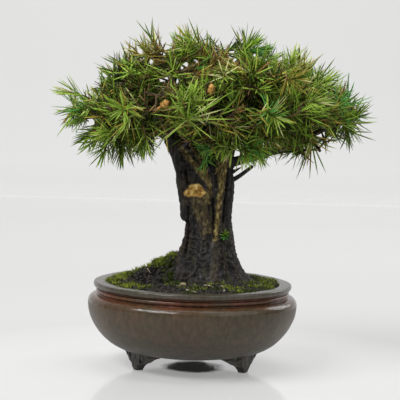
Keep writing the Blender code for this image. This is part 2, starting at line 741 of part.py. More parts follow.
def make_mass(name, limb, limbs, finish):
    """One mass of foliage: twigs that spread from a stem at the limb's tip, with a spray on each."""
    rng = random.Random(name)
    cell = Cell(name)
    start = limb.points[-1] + limb.heading() * GAP
    toward = (cell.middle - start).normalized()
    middle = start + limb.heading() * 3.0 * MM
    stem_end = middle + toward * min(4.0 * MM, (cell.middle - start).length * 0.4)
    stem = [start, middle, stem_end]
    pieces = [tube("stem", stem, [STEM_RADIUS, STEM_RADIUS, TWIG_RADIUS], 3)]
    nodes = [middle, stem_end]
    growth = Obstacles()
    growth.rows.extend(limbs.rows)
    for i, place in enumerate(spray_places(cell, stem_end, limbs, rng)):
        root = min(nodes, key=lambda node: (node - place).length)
        outward = (place - root).normalized()
        bend = root.lerp(place, 0.5) - Vector((0, 0, 0.06)) * (place - root).length
        if not limbs.clear(root.lerp(bend, 0.3), bend, TWIG_RADIUS) or not limbs.clear(bend, place, TWIG_RADIUS):
            continue
        if not cell.holds(bend, 1.0 * MM):
            continue
        lift = Vector((0, 0, 0.45))
        heading = (outward + lift + (place - cell.middle).normalized() * 0.5).normalized()
        base = place - heading * 1.5 * MM
        radii = [TWIG_RADIUS * 1.15, TWIG_RADIUS, TWIG_RADIUS * 0.8]
        own = []
        spray = spray_shape(f"spray_{i}", base, heading, cell, limbs, growth, own, rng)
        pieces.append(tube(f"twig_{i}", [root, bend, place + heading * 0.8 * MM], radii, 3))
        pieces.append(spray)
        nodes.extend((bend, place))
        growth.add(root.lerp(bend, 0.2), bend, TWIG_RADIUS)
        growth.add(bend, place, TWIG_RADIUS)
        for needle_start, needle_end in own:
            growth.add(needle_start, needle_end, NEEDLE_RADIUS * 0.6)
    fuse("foliage_" + name, pieces, finish)


def main():
    remove(list(bpy.data.objects))
    glaze = material("brown_glaze", (0.105, 0.062, 0.042), 0.28)
    earth = material("soil", (0.035, 0.028, 0.020), 0.95)
    moss = material("moss", (0.070, 0.115, 0.018), 0.9)
    bark = material("bark", (0.045, 0.038, 0.033), 0.85)
    needles = material("needles", (0.085, 0.190, 0.028), 0.5)

    make_pot(glaze)
    make_feet(glaze)
    make_soil(earth)
    trunk = trunk_shape("trunk", bark)
    trunk.data.shade_smooth()
    trunk_cutter = trunk_shape("cutter_trunk", grow=GAP * 1.15)
    make_moss(moss, trunk_cutter)

    limbs = all_limbs()
    cutters = make_limbs(limbs, bark, trunk_cutter)
    stub = make_dead_stub(bark, cutters)
    remove(cutters)

    thick = Obstacles()
    for limb in [*limbs.values(), stub]:
        thick.add_limb(limb)
    for name, limb in limbs.items():
        make_mass(name, limb, thick, needles)


main()
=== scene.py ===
"""The looks of the needle juniper bonsai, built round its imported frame.

Lengths are in metres, +Z is up and the front faces -Y. Places on the tree are measured from the
pot's axis in millimetres, as its own source measures them, and pot_point() turns them into metres.
"""

import math
import random

import bmesh
import bpy
import numpy as np
from mathutils import Matrix, Vector, noise


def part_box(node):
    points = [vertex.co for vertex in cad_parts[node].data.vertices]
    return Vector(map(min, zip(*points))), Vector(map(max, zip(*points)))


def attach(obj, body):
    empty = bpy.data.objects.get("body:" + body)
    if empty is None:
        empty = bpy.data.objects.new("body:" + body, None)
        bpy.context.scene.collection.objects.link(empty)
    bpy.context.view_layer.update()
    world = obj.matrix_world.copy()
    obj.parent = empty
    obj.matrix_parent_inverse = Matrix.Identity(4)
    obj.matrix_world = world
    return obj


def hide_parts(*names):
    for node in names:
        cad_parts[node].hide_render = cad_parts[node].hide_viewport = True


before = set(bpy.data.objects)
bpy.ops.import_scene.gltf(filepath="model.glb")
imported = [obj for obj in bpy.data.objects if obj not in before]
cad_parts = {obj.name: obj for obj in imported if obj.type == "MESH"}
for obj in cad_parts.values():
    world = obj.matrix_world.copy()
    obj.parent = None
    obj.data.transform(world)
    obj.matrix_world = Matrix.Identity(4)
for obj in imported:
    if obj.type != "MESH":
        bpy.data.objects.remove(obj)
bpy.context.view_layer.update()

MM = 0.001
GAP = 0.3 * MM

# Places that the frame gives
POT_LOW, POT_HIGH = (Vector(corner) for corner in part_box("pot"))
BASE_LEVEL = 7.1 * MM
POT_AXIS = Vector(((POT_LOW.x + POT_HIGH.x) / 2, (POT_LOW.y + POT_HIGH.y) / 2, POT_LOW.z - BASE_LEVEL))
SOLE_LEVEL = -POT_AXIS.z
LIP_TOP = POT_HIGH.z - POT_AXIS.z
SOIL_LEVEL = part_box("soil")[1][2] - POT_AXIS.z
TRUNK_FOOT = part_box("trunk")[0][2] - POT_AXIS.z

# The photograph's camera, from the pot's axis: in front of the trunk, above the crown's middle
CAMERA_DISTANCE = 880 * MM
CAMERA_HEIGHT = 162.8 * MM
CAMERA_X = 2.8 * MM
AIM_HEIGHT = 90.9 * MM
FOCAL_PIXELS = 1600
FRAME_PIXELS = 400
SENSOR_MM = 36.0
CAMERA_ROLL_DEG = 1.5
CAMERA_PLACE = POT_AXIS + Vector((CAMERA_X, -CAMERA_DISTANCE, CAMERA_HEIGHT))

# Trunk: height, middle, half width and half depth
TRUNK_STATIONS = (
    (44, 7, 25, 20), (48, 7, 22.5, 18.5), (52, 6.8, 19.3, 16.8), (57, 6.7, 17, 15.2), (63, 7.3, 14.9, 14),
    (70, 8, 13.3, 12.9), (76, 7.9, 12.5, 12.3), (79.2, 7.7, 12.3, 12.1), (80.8, 6.9, 13.1, 12.1),
    (87, 6.3, 13.9, 11.9), (93, 5.8, 15, 11.8), (99, 5.3, 15.6, 11.7), (105, 4.7, 15.4, 11.3),
    (110, 4.8, 14.6, 10), (113.5, 5, 11.6, 7.4),
)
ROOT_LOBES = 5
ROOT_LOBE_TURN = 0.6
ROOT_FLARE = 0.16
ROOT_FLARE_HEIGHT = 12 * MM
TRUNK_FOOT_X = 7 * MM

# Ribs that run up the trunk: the turn of each, its half width, and how far it stands out in
# millimetres. They lean round the trunk by an angle for each millimetre of height
TRUNK_RIBS = (
    (-154, 16, 1.3), (-103, 15, 1.0), (-64, 11, 1.7), (-26, 16, 1.4), (13, 16, 1.4), (64, 16, 1.5),
    (116, 16, 1.4), (154, 15, 1.4),
)
RIB_LEAN_DEG = 0.4
RIB_LEVEL = 85.0
RIB_REST = 0.7

# Crown outline, as the source has it: dips are (middle, width, depth) and tufts that hang below
# are (middle, width, drop), in millimetres
CROWN_MIDDLE_X = 9.6 * MM
CROWN_HALF_WIDTH = 88 * MM
CROWN_HALF_DEPTH = 62 * MM
CROWN_EDGE_TOP = 150 * MM
CROWN_DOME = 39 * MM
CROWN_DIPS = ((10, 11, 8), (-61, 9, 12), (45, 9, 6))
CROWN_UNDERSIDE = 115 * MM
CROWN_EDGE_LIFT = 16 * MM
HANGING_TUFTS = ((64, 8, 9), (-46, 11, 5.5))
HANGING_MIDDLE_Y = -10 * MM
HANGING_DEPTH = 14 * MM

# Limbs: name, what it grows from, how far along that, its tip, its leaving and arriving
# directions, and its radii at both ends
LIMBS = (
    ("left_leader", "trunk", (0, 0, 98), (-24, 3, 150), (-0.4, 0, 0.92), (-0.25, 0.05, 0.95), 7.6, 2.6),
    ("right_leader", "trunk", (12.5, 0, 98), (28, 2, 153), (0.02, 0, 1), (0.4, 0, 0.9), 7.4, 2.4),
    ("right_tip", "right_leader", 0.22, (73, 2, 133), (0.96, -0.05, 0.18), (0.85, 0.02, 0.45), 3, 1.2),
    ("left_tip", "left_leader", 0.48, (-50, 1, 140), (-0.85, 0, 0.45), (-0.98, 0, 0.1), 3, 1.2),
    ("left_low", "left_tip", 0.4, (-42, -14, 130), (-0.55, -0.75, -0.1), (-0.75, -0.55, -0.25), 1.9, 1),
    ("left_crown", "left_leader", 0.72, (-41, 2, 158), (-0.8, 0, 0.5), (-0.7, 0, 0.65), 2.2, 1),
    ("front_left", "left_leader", 0.45, (-24, -29, 139), (-0.25, -0.85, 0.25), (-0.3, -0.8, 0.45), 2.3, 1),
    ("back_left", "left_leader", 0.55, (-29, 28, 139), (-0.3, 0.85, 0.2), (-0.35, 0.8, 0.4), 2.3, 1),
    ("front_top_left", "left_leader", 0.74, (-12, -20, 158), (0.25, -0.75, 0.5), (0.2, -0.55, 0.8), 1.9, 0.9),
    ("back_top", "left_leader", 0.8, (-4, 23, 160), (0.35, 0.7, 0.5), (0.45, 0.5, 0.75), 1.9, 0.9),
    ("front_centre", "right_leader", 0.32, (6, -35, 137), (-0.2, -0.9, 0.2), (-0.05, -0.8, 0.5), 2.5, 1.1),
    ("back_centre", "right_leader", 0.42, (15, 34, 140), (0.05, 0.9, 0.25), (0.05, 0.8, 0.5), 2.3, 1),
    ("top_centre", "right_leader", 0.66, (8, -2, 160), (-0.6, -0.1, 0.6), (-0.25, 0, 0.95), 1.9, 0.9),
    ("front_top_right", "right_leader", 0.7, (29, -24, 155), (0.15, -0.8, 0.45), (0.2, -0.6, 0.75), 1.9, 0.9),
    ("right_crown", "right_leader", 0.55, (57, 3, 153), (0.8, 0.1, 0.45), (0.8, 0, 0.55), 2.4, 1),
    ("front_right", "right_tip", 0.38, (43, -29, 135), (0.35, -0.85, 0.15), (0.3, -0.8, 0.4), 1.9, 1),
    ("back_right", "right_tip", 0.45, (50, 29, 139), (0.35, 0.8, 0.3), (0.3, 0.75, 0.5), 1.9, 1),
    ("right_low", "right_tip", 0.72, (65, -9, 123), (0.5, -0.6, -0.45), (0.45, -0.4, -0.75), 1.4, 0.9),
    ("low_front", "right_leader", 0.16, (21, -21, 124), (0.15, -0.9, 0.25), (0.25, -0.85, 0.3), 1.7, 0.9),
    ("fork_front", "left_leader", 0.36, (-4, -20, 125), (0.15, -0.9, 0.2), (0.2, -0.85, 0.3), 1.6, 0.9),
)
LEADERS = ("left_leader", "right_leader")
DEAD_STUB = ((17.5, -1.5, 101), (31, -3, 110.4), 1.35, 0.85)
FINE_STEP = 0.8 * MM

# Masses of foliage, each at its limb's tip
MASS_MIDDLES = {
    "left_leader": (-21, 3, 171), "right_leader": (32, 3, 172), "right_tip": (86, 2, 139),
    "left_tip": (-66, 1, 142), "left_low": (-49, -17, 124), "left_crown": (-48, 2, 163),
    "front_left": (-29, -41, 142), "back_left": (-33, 41, 142), "front_top_left": (-12, -29, 166),
    "back_top": (-1, 30, 168), "front_centre": (6, -48, 142), "back_centre": (16, 47, 144),
    "top_centre": (7, -4, 171), "front_top_right": (31, -32, 163), "right_crown": (64, 3, 160),
    "front_right": (47, -41, 137), "back_right": (54, 41, 143), "right_low": (66, -13, 119),
    "low_front": (24, -28, 123), "fork_front": (-1, -27, 125),
}

# Sprays: a mass's twigs, spread through its space, and the room that they keep. The radii of the
# stem that they spring from are in millimetres
SPRAY_SPACING = 12 * MM
SPRAYS_IN_A_MASS = 10
SPRAY_TRIES = 6000
SPRAY_REACH = 27 * MM
SPRAY_INSET = 8.5 * MM
SPRAY_ROOM = 2.5 * MM
STEM_ROOM = 6 * MM
STEM_RUN = 4 * MM
STEM_RADII = (0.95, 0.95, 0.85, 0.7)
TWIG_RADIUS = 0.7 * MM
TWIG_STEPS = 5

# Shoots on a twig, and the room that a side shoot keeps
SIDE_SHOOTS = (12, 15)
SIDE_INSET = 8 * MM
SIDE_ROOM = 0.8 * MM
SIDE_RADII = (0.38, 0.33, 0.28)
INNER_SHOOTS = 2
INNER_INSET = 6 * MM
OWN_TONE_CHANCE = 0.55
FEATURE_LENGTH = 7 * MM

# Needles and their whorls. On a shoot that the photograph shows, the whorls of short needles stand
# close and those of long ones stand open
NEEDLE_LENGTH = 16.5 * MM
NEEDLE_HALF_WIDTH = 0.42 * MM
NEEDLE_ROOM = 0.25 * MM
NEEDLES_IN_A_WHORL = 3
WHORL_SPACING = 1.3 * MM
INNER_WHORL_SPACING = 1.8 * MM
CLOSE_WHORL_SPACING = 0.62 * MM
OPEN_WHORL_SPACING = 1.75 * MM
SHORTEST_NEEDLE = 9 * MM
LONG_NEEDLE = 15.5 * MM
STOUT_HALF_WIDTH = 0.58 * MM
OVERSHOOT = 4 * MM
SPIKE_OVERSHOOT = 8 * MM
SPIKE_CHANCE = 0.10
STRAY = 5 * MM

# Needle colours, from pale to dark and then dried ones
NEEDLE_COLOURS = {
    "pale": (0.56, 0.58, 0.24),
    "bright": (0.37, 0.525, 0.075),
    "fresh": (0.262, 0.425, 0.045),
    "emerald": (0.085, 0.28, 0.05),
    "leaf": (0.195, 0.32, 0.03),
    "mid": (0.125, 0.2, 0.022),
    "deep": (0.052, 0.086, 0.01),
    "shade": (0.018, 0.03, 0.005),
    "olive": (0.39, 0.315, 0.05),
    "dry": (0.31, 0.17, 0.055),
}
# For each of those colours, the next paler and the next darker one, and how often a needle has the
# paler, its shoot's own and the darker colour
PALER = dict(zip(NEEDLE_COLOURS, "pale pale bright fresh fresh leaf mid deep pale olive".split()))
DARKER = dict(zip(NEEDLE_COLOURS, "bright fresh leaf mid mid deep shade shade mid dry".split()))
TONE_SHARES = (14, 58, 28)

# How often a shoot has each colour on the sunny outside, in the shade within, along a twig, and where it only
# fills a hollow. The dark colours within, along twigs and in hollows are painted shade, and the brighter ones
# outside are painted sunlight
OUTER_SHARES = dict(bright=15, fresh=22, emerald=10, leaf=18, mid=12, deep=5, olive=16, dry=2)
INNER_SHARES = dict(fresh=4, emerald=3, leaf=11, mid=18, deep=30, shade=22, olive=9, dry=3)
TWIG_SHARES = dict(shade=14, deep=30, mid=32, olive=14, dry=10)
FILLING_SHARES = dict(shade=30, deep=40, mid=22, olive=8)
SUNNY_FROM = 0.55

# Parts of the crown with a tint of their own, and two with painted shade in hollows: across, up, reach,
# colours
TINTS = (
    (45, 158, 22, ("olive", "fresh", "olive", "bright", "leaf")),
    (31, 162, 14, ("leaf", "olive", "fresh")),
    (76, 146, 12, ("emerald", "fresh", "leaf")),
    (-24, 172, 12, ("olive", "olive", "dry", "leaf")),
    (8, 166, 12, ("olive", "dry", "leaf")),
    (0, 172, 12, ("fresh", "olive", "bright")),
    (22, 172, 10, ("olive", "dry", "fresh")),
    (-8, 160, 12, ("olive", "leaf", "fresh", "dry")),
    (10, 150, 10, ("olive", "fresh", "leaf")),
    (28, 118, 14, ("leaf", "fresh", "olive")),
    (60, 120, 14, ("olive", "leaf")),
    (-2, 148, 10, ("bright", "fresh")),
    # Painted shade in two hollows of the crown
    (-32, 147, 12, ("deep", "shade")),
    (29, 146, 8, ("deep", "shade")),
    (-50, 130, 14, ("fresh", "leaf", "mid")),
)
TINT_CHANCE = 0.45

# Shoots that stand out in the photograph: colour, place, heading, needle length, and how far the
# first and last whorls lean out in degrees
FEATURES = (
    ("bright", (-2.7, -50, 146.5), (-0.05, -0.55, 0.8), 13, 78, 15),
    ("bright", (-6.5, -49, 145), (-0.5, -0.65, 0.55), 12, 76, 18),
    ("bright", (2, -49, 145), (0.5, -0.65, 0.5), 12, 76, 18),
    ("leaf", (-5, -54, 137), (0.05, -1, -0.05), 19, 86, 66),
    ("pale", (14, -44, 160.5), (0.05, -0.85, 0.4), 9.5, 84, 22),
    ("bright", (12, -43, 162), (-0.25, -0.8, 0.5), 9, 80, 25),
    ("olive", (12, -30, 170), (0.2, -0.5, 0.8), 9.5, 62, 15),
    ("fresh", (-2.5, -20, 176), (-0.9, -0.15, 0.35), 16, 42, 8),
    ("bright", (-6, -22, 173.5), (-0.92, -0.3, 0.1), 15, 46, 8),
    ("leaf", (-3, -22, 172), (-0.8, -0.4, -0.25), 14, 50, 10),
    ("fresh", (26, -20, 174.5), (0.7, -0.25, 0.62), 14, 55, 8),
    ("emerald", (29, -22, 173), (0.9, -0.3, 0.15), 14, 50, 8),
    ("olive", (-23.4, -20, 174), (-0.35, -0.4, 0.75), 13, 76, 25),
    ("olive", (-27, -22, 170.5), (-0.6, -0.5, 0.3), 13, 76, 25),
    ("dry", (-22, -22, 171), (0.3, -0.6, 0.5), 9, 78, 30),
    ("fresh", (-45, -8, 159), (-0.55, -0.4, 0.65), 11, 62, 16),
    ("leaf", (-53, -8, 153), (-0.75, -0.3, 0.45), 12, 58, 14),
    ("fresh", (-37, -30, 161), (-0.35, -0.75, 0.5), 10.5, 72, 16),
    ("olive", (-33, -16, 171), (-0.45, -0.45, 0.6), 10.5, 66, 18),
    ("fresh", (-54, -22, 123), (-0.82, -0.35, -0.45), 12.5, 58, 12),
    ("bright", (-57, -24, 142), (-0.6, -0.7, -0.1), 11, 76, 20),
    ("dry", (-50, -40, 148.5), (-0.2, -0.8, 0.5), 6.5, 74, 22),
    ("dry", (23.7, -40, 156.2), (0.1, -0.85, 0.45), 6.5, 76, 22),
    ("dry", (43.9, -38, 163.5), (0, -0.8, 0.55), 7, 76, 22),
    ("dry", (2.2, -22, 175), (0.1, -0.55, 0.8), 7, 70, 20),
    ("dry", (78.7, -20, 155.5), (0.2, -0.45, 0.8), 7.5, 60, 18),
    ("dry", (8.5, -34, 169), (0.1, -0.6, 0.75), 8, 74, 24),
    ("emerald", (4.5, -27, 115.5), (-0.45, -0.85, 0.1), 10.5, 80, 24),
    ("pale", (8, -26, 117), (0.2, -0.9, -0.2), 9, 80, 26),
    ("bright", (23.5, -36, 118.5), (-0.15, -0.75, -0.6), 11, 62, 16),
    ("fresh", (33, -36, 119.5), (0.12, -0.75, -0.6), 11.5, 62, 16),
    ("emerald", (29, -38, 122), (0, -0.92, -0.3), 12, 80, 26),
    ("fresh", (14, -36, 123.5), (0.15, -0.85, -0.42), 12, 72, 22),
    ("leaf", (33, -28, 166), (0.15, -0.65, 0.6), 11.5, 74, 22),
    ("olive", (39, -30, 160), (-0.1, -0.85, 0.4), 11, 78, 26),
    ("fresh", (31, -40, 153), (0.2, -0.88, 0.15), 11.5, 80, 26),
    ("olive", (56, -34, 154), (0.45, -0.75, 0.35), 12, 74, 20),
    ("bright", (37, -20, 170), (0.1, -0.5, 0.8), 11, 66, 18),
    ("bright", (-66, -12, 147.5), (-0.97, -0.15, 0.15), 14.5, 46, 6),
    ("emerald", (-60, -20, 140), (-0.9, -0.3, -0.2), 15, 55, 10),
    ("leaf", (-60, -18, 137), (-0.8, -0.3, -0.5), 14, 56, 12),
    ("olive", (-52, -26, 146), (-0.2, -0.85, 0.35), 11, 74, 26),
    ("fresh", (-38, -46, 141), (-0.1, -0.95, -0.2), 13.5, 86, 34),
    ("olive", (-35, -45, 143), (0.55, -0.7, 0.4), 14, 68, 24),
    ("fresh", (-48, -25, 126.5), (-0.88, -0.35, -0.22), 14.5, 50, 8),
    ("bright", (-46, -30, 128), (-0.75, -0.62, 0), 12.5, 62, 15),
    ("mid", (-40, -22, 120), (0.05, -0.4, -0.9), 14, 46, 12),
    ("leaf", (-49, -20, 119), (-0.35, -0.4, -0.75), 13, 58, 12),
    ("leaf", (-30, -24, 122), (0.25, -0.6, -0.7), 12, 62, 16),
    ("mid", (-57, -24, 126), (-0.55, -0.6, -0.55), 12, 60, 14),
    ("deep", (-44, -26, 123), (0.1, -0.75, -0.6), 12, 64, 18),
    ("mid", (-33, -26, 127), (0.2, -0.8, -0.45), 12, 68, 20),
    ("bright", (50, -12, 166), (0.25, -0.45, 0.85), 14, 60, 14),
    ("olive", (46.5, -42, 158), (0.05, -0.7, -0.62), 16, 58, 14),
    ("olive", (50, -40, 159), (0.75, -0.6, 0.15), 14, 58, 14),
    ("bright", (66, -30, 157), (0.75, -0.45, 0.45), 13, 56, 12),
    ("bright", (40, -50, 139.5), (0.45, -0.8, -0.4), 14, 76, 20),
    ("emerald", (37, -50, 141), (-0.3, -0.85, 0.45), 14, 76, 28),
    ("bright", (60, -41, 147), (0.9, -0.42, 0.05), 14, 50, 8),
    ("emerald", (75, -28, 147), (0.1, -0.85, 0.35), 11.5, 82, 24),
    ("mid", (81, -15, 132), (0.15, -0.45, -0.8), 12.5, 54, 12),
    ("dry", (77, -8, 152), (0.35, -0.3, 0.85), 9, 50, 16),
    ("olive", (61.5, -24, 128), (0.1, -0.7, -0.6), 13, 66, 18),
    ("mid", (50, -30, 138), (-0.1, -0.95, 0.05), 11, 70, 24),
    ("pale", (19, -37, 121.5), (-0.1, -0.75, -0.6), 12, 66, 16),
    ("fresh", (26, -38, 121), (0.15, -0.7, -0.68), 13.5, 64, 14),
    ("leaf", (32, -38, 123), (0.3, -0.7, -0.6), 13.5, 66, 16),
    ("olive", (37, -36, 128), (0.35, -0.85, -0.25), 12, 66, 20),
    ("dry", (78.5, -20, 153), (0.05, -0.35, 0.9), 7.5, 48, 12),
    ("emerald", (8, -36, 122), (-0.55, -0.7, -0.45), 11.5, 58, 12),
    ("leaf", (-3, -38, 124), (-0.15, -0.85, -0.4), 12.5, 74, 28),
    ("deep", (3, -24, 122), (0.05, -0.8, -0.2), 13, 82, 40),
    ("mid", (14, -37, 153), (0.35, -0.9, 0.1), 13, 80, 34),
    ("dry", (7.6, -24, 167), (-0.1, -0.7, 0.65), 9.5, 72, 30),
    ("dry", (8, -41, 152.5), (0.25, -0.55, -0.8), 8, 50, 14),
    ("leaf", (-27, -22, 121), (0.15, -0.7, -0.6), 10, 62, 16),
    ("olive", (-24, -20, 121.5), (0.35, -0.5, -0.75), 8, 50, 14),
    ("leaf", (-29, -20, 174), (-0.55, -0.3, 0.7), 11, 60, 12),
    ("dry", (-19, -20, 172.5), (0.1, -0.5, 0.8), 9, 66, 20),
)

# Single long needles that stand out: colour, root, and the tips that spring from it
LONG_NEEDLES = (
    ("bright", (-5, -54, 137),
     ((21.3, -57, 137.2), (-24.7, -52, 139.6), (10.8, -60, 125.1), (-22.3, -56, 127.2))),
    ("fresh", (-5, -54, 137),
     ((20.4, -51, 152.6), (12, -60, 146.5), (-17.6, -60, 124.3), (-14.5, -60, 148.5))),
    ("pale", (-4.2, -54, 137), ((14.8, -58, 142.5), (13.5, -57, 150), (-20, -58, 124.5))),
    ("mid", (-4.6, -54, 137), ((-16, -57, 134), (-19.5, -58, 129.5), (4.5, -60, 126.5), (17.5, -58, 143.5))),
    ("mid", (-25.5, -20, 178.5), ((-25.3, -21, 190.2), (-34.5, -21, 188.4), (-29.5, -23, 187))),
    ("mid", (0.2, -20, 176.5), ((-6.4, -21, 190.4), (-1.8, -21, 187.6))),
    ("mid", (6.6, -20, 173.7), ((5.3, -21, 181.5), (8.6, -21, 180.5))),
    ("mid", (24.7, -20, 173.5),
     ((16.1, -21, 187.2), (23.7, -21, 185.6), (29.2, -21, 187.5), (33.2, -21, 186.4))),
    ("leaf", (61.5, -22, 126.5),
     ((54.3, -24, 104.5), (66.2, -24, 107), (70.6, -24, 108.6), (75.6, -24, 121.8))),
    ("olive", (61.5, -22, 126.5),
     ((61.6, -25, 105), (59.8, -25, 111.5), (72.6, -25, 119.8), (57.4, -24, 109))),
    ("mid", (82.3, -15, 131.5), ((97.4, -16, 126.3), (95.3, -16, 131), (77.5, -17, 120.7), (83, -17, 119.2))),
    ("leaf", (82.7, -15, 137.1), ((95.9, -16, 146.6), (95.2, -15, 149.2), (90.8, -14, 152.9))),
    ("mid", (-65.8, -12, 149), ((-71.5, -13, 157.5), (-76.5, -13, 155))),
    ("mid", (-58.6, -12, 147.5), ((-60.5, -13, 153.8),)),
    ("mid", (-40, -22, 121), ((-44.3, -24, 109.8), (-41.3, -24, 113.5))),
    ("deep", (-37.4, -22, 120), ((-32.4, -24, 108.8),)),
    ("leaf", (16.8, -9, 72.5), ((15, -13, 75.4), (17.4, -13.5, 76.8), (19.2, -13, 75.3), (13.6, -13, 73.6))),
    ("emerald", (16.9, -9, 71.8),
     ((19.6, -13.5, 73), (16, -14, 70.4), (18.6, -14, 70.6), (14.4, -13.5, 71.6))),
)

# Bare dry twigs among the needles, as points on their way
BARE_TWIGS = (
    ((21, -16, 124), (19.3, -21, 120), (15.7, -22, 114.5), (12.6, -22, 110.1), (10.5, -21, 106.8)),
    ((15.7, -22, 114.5), (12.8, -23, 117.6), (11.2, -24, 120.4)),
    ((-22, -24, 158), (-19.5, -32, 162), (-9.5, -33, 160.8), (1.3, -33, 159.4)),
    ((-9.5, -33, 160.8), (-4.5, -31, 163.5), (0.5, -29, 166.5)),
    ((30, -20, 158), (25.5, -30, 166.5), (22, -33, 164.5), (17.2, -35, 161.5)),
    ((-24, -24, 146), (-13, -38, 151), (-9, -40, 154)),
)

# Lines of sight from the front, by where they cross the crown's middle plane, across and up, and how
# far twigs and needles keep from them, in millimetres. HOLLOWS are deep, dark places, kept clear only
# in front of the last number. At SKY the sky shows through.
HOLLOWS = (
    (-36.1, 149.4, 3.8, -31), (-27.2, 148.5, 4, -31), (-23.3, 143.1, 3.4, -31), (28.7, 149.4, 3, -33),
    (32, 145.5, 3.4, -33), (10.3, 140.7, 2.6, -38), (4.1, 126.3, 2.8, -38), (0.2, 122.5, 2.6, -38),
    (17, 137, 2.4, -38), (13.5, 144.1, 2.2, -40), (7.3, 130.7, 2.2, -38), (-18.7, 136.1, 2.4, -38),
    (-14.7, 129.1, 2.2, -12), (-11.8, 124.7, 3.2, -12), (-7.3, 120.5, 3.4, -12), (-2.3, 116.2, 3, -12),
    (-16.2, 145, 2.6, -44), (7.8, 153.3, 2.2, -42),
)
SKY = (
    (-18.1, 178.8, 2.6), (-18, 174.4, 1.3), (-20.1, 170.6, 1.1), (-32.2, 171.9, 1.5), (-25.8, 166.2, 1),
    (-6.8, 165.2, 1.2), (-9.5, 163.2, 1.1), (-1.1, 167.2, 1.1), (-19.8, 156.4, 1.1), (-17, 157, 1.1),
    (-11.5, 156, 1.1), (18.2, 172.7, 0.8), (19.7, 168.3, 0.9), (30.6, 171.3, 0.8), (14.7, 180.5, 3.2),
    (-62.6, 158.4, 6.5), (-74.5, 143.2, 2.6), (-58.8, 132.3, 2), (68.9, 129.6, 2.6), (66, 118, 3),
    (68.6, 122.4, 1.8), (78.1, 118.3, 4.5), (22, 115.7, 2),
)
SKY_DEPTH = 1000

# Cut stumps of pale wood among the needles: the middle of each cut, and its half width in
# millimetres. STUMP_SHAPE says how wide a stump is, as a share of that, so many millimetres along it
STUMPS = (((-15.6, -43, 145.2), 2.3), ((7.3, -41, 154.6), 2.0))
STUMP_SHAPE = ((-5.5, 0.55), (-4.0, 0.9), (-2.0, 1.0), (-0.8, 0.85), (0.0, 0.5))


def pot_point(x, y, z):
    """A place measured in millimetres from the pot's axis, in the frame."""
    return POT_AXIS + Vector((x, y, z)) * MM


def smooth_step(value, low, high):
    """Rises from 0 at low to 1 at high, softly at both ends."""
    share = np.clip((value - low) / (high - low), 0.0, 1.0)
    return share * share * (3 - 2 * share)


def gaussian(x, middle, width):
    return math.exp(-(((x - middle) / width) ** 2))


# Materials


class Nodes:
    """A small helper that adds nodes to a material and links them."""

    def __init__(self, name):
        self.material = bpy.data.materials.new(name)
        self.material.use_nodes = True
        self.tree = self.material.node_tree
        self.shader = self.tree.nodes["Principled BSDF"]

    def fill(self, target, value):
        """Links an input to a socket, or sets it to a plain value. Colours have three channels."""
        if isinstance(value, bpy.types.NodeSocket):
            self.tree.links.new(value, target)
        else:
            target.default_value = (*value, 1.0) if target.type == "RGBA" else value

    def add(self, kind, inputs=(), **settings):
        node = self.tree.nodes.new(kind)
        for key, value in settings.items():
            setattr(node, key, value)
        for key, value in dict(inputs).items():
            self.fill(node.inputs[key], value)
        return node

    def shade(self, **values):
        """Fills the shader's inputs, named with underscores for blanks."""
        for key, value in values.items():
            self.fill(self.shader.inputs[key.replace("_", " ")], value)

    def place(self):
        return self.add("ShaderNodeTexCoord").outputs["Object"]

    def share_along(self, axis, low, high):
        """How far a place lies between two levels of one axis, from 0 to 1."""
        level = self.add("ShaderNodeSeparateXYZ", {"Vector": self.place()}).outputs[axis]
        return self.add("ShaderNodeMapRange", {"Value": level, "From Min": low, "From Max": high}).outputs[0]

    def math(self, operation, *values):
        return self.add("ShaderNodeMath", enumerate(values), operation=operation).outputs[0]

    def noise(self, scale, detail=4, roughness=0.55, stretch=(1, 1, 1)):
        mapped = self.add("ShaderNodeMapping", {"Vector": self.place(), "Scale": stretch}).outputs[0]
        inputs = {"Vector": mapped, "Scale": scale, "Detail": detail, "Roughness": roughness}
        return self.add("ShaderNodeTexNoise", inputs).outputs["Fac"]

    def ramp(self, value, *stops):
        """A colour by a value, from stops of (position, colour). A single number is a grey."""
        made = self.add("ShaderNodeValToRGB", {"Fac": value})
        elements = made.color_ramp.elements
        while len(elements) < len(stops):
            elements.new(0.5)
        for element, (position, colour) in zip(elements, stops):
            element.position = position
            element.color = (*(colour if isinstance(colour, tuple) else (colour,) * 3), 1.0)
        return made.outputs["Color"]

    def mix(self, factor, first, second, blend="MIX"):
        inputs = {0: factor, 6: first, 7: second}
        return self.add("ShaderNodeMix", inputs, data_type="RGBA", blend_type=blend).outputs[2]

    def attribute(self, name):
        return self.add("ShaderNodeAttribute", attribute_name=name).outputs["Fac"]

    def bump(self, height, strength, distance):
        inputs = {"Height": height, "Strength": strength, "Distance": distance}
        self.shade(Normal=self.add("ShaderNodeBump", inputs).outputs[0])


def speckled(name, low, high, grain, ends, roughness, specular, bumps=None):
    """A finish between a dark and a light tone by fine noise, with small bumps where they are given."""
    nodes = Nodes(name)
    tone = nodes.ramp(nodes.noise(*grain), *zip(ends, (low, high)))
    nodes.shade(Base_Color=tone, Roughness=roughness, Specular_IOR_Level=specular)
    if bumps:
        bump_grain, strength, distance = bumps
        nodes.bump(nodes.noise(*bump_grain), strength, distance)
    return nodes.material


def needle_material(name, colour):
    """Waxy needles of one base colour, with a faint change of tone along the crown."""
    dark = tuple(channel * 0.82 for channel in colour)
    light = tuple(min(channel * 1.18, 1.0) for channel in colour)
    return speckled(name, dark, light, (160, 2), (0.35, 0.65), 0.42, 0.18)


def twig_material(name, low, high):
    bumps = ((2500, 3), 0.3, 0.1 * MM)
    return speckled(name, low, high, (500, 4, 0.6), (0.35, 0.66), 0.7, 0.3, bumps)


def stone_material(name, low, high):
    """Granules, and moss as matt as they are."""
    bumps = ((3000, 4, 0.7), 0.5, 0.15 * MM)
    return speckled(name, low, high, (700, 5, 0.65), (0.35, 0.68), 0.9, 0.2, bumps)


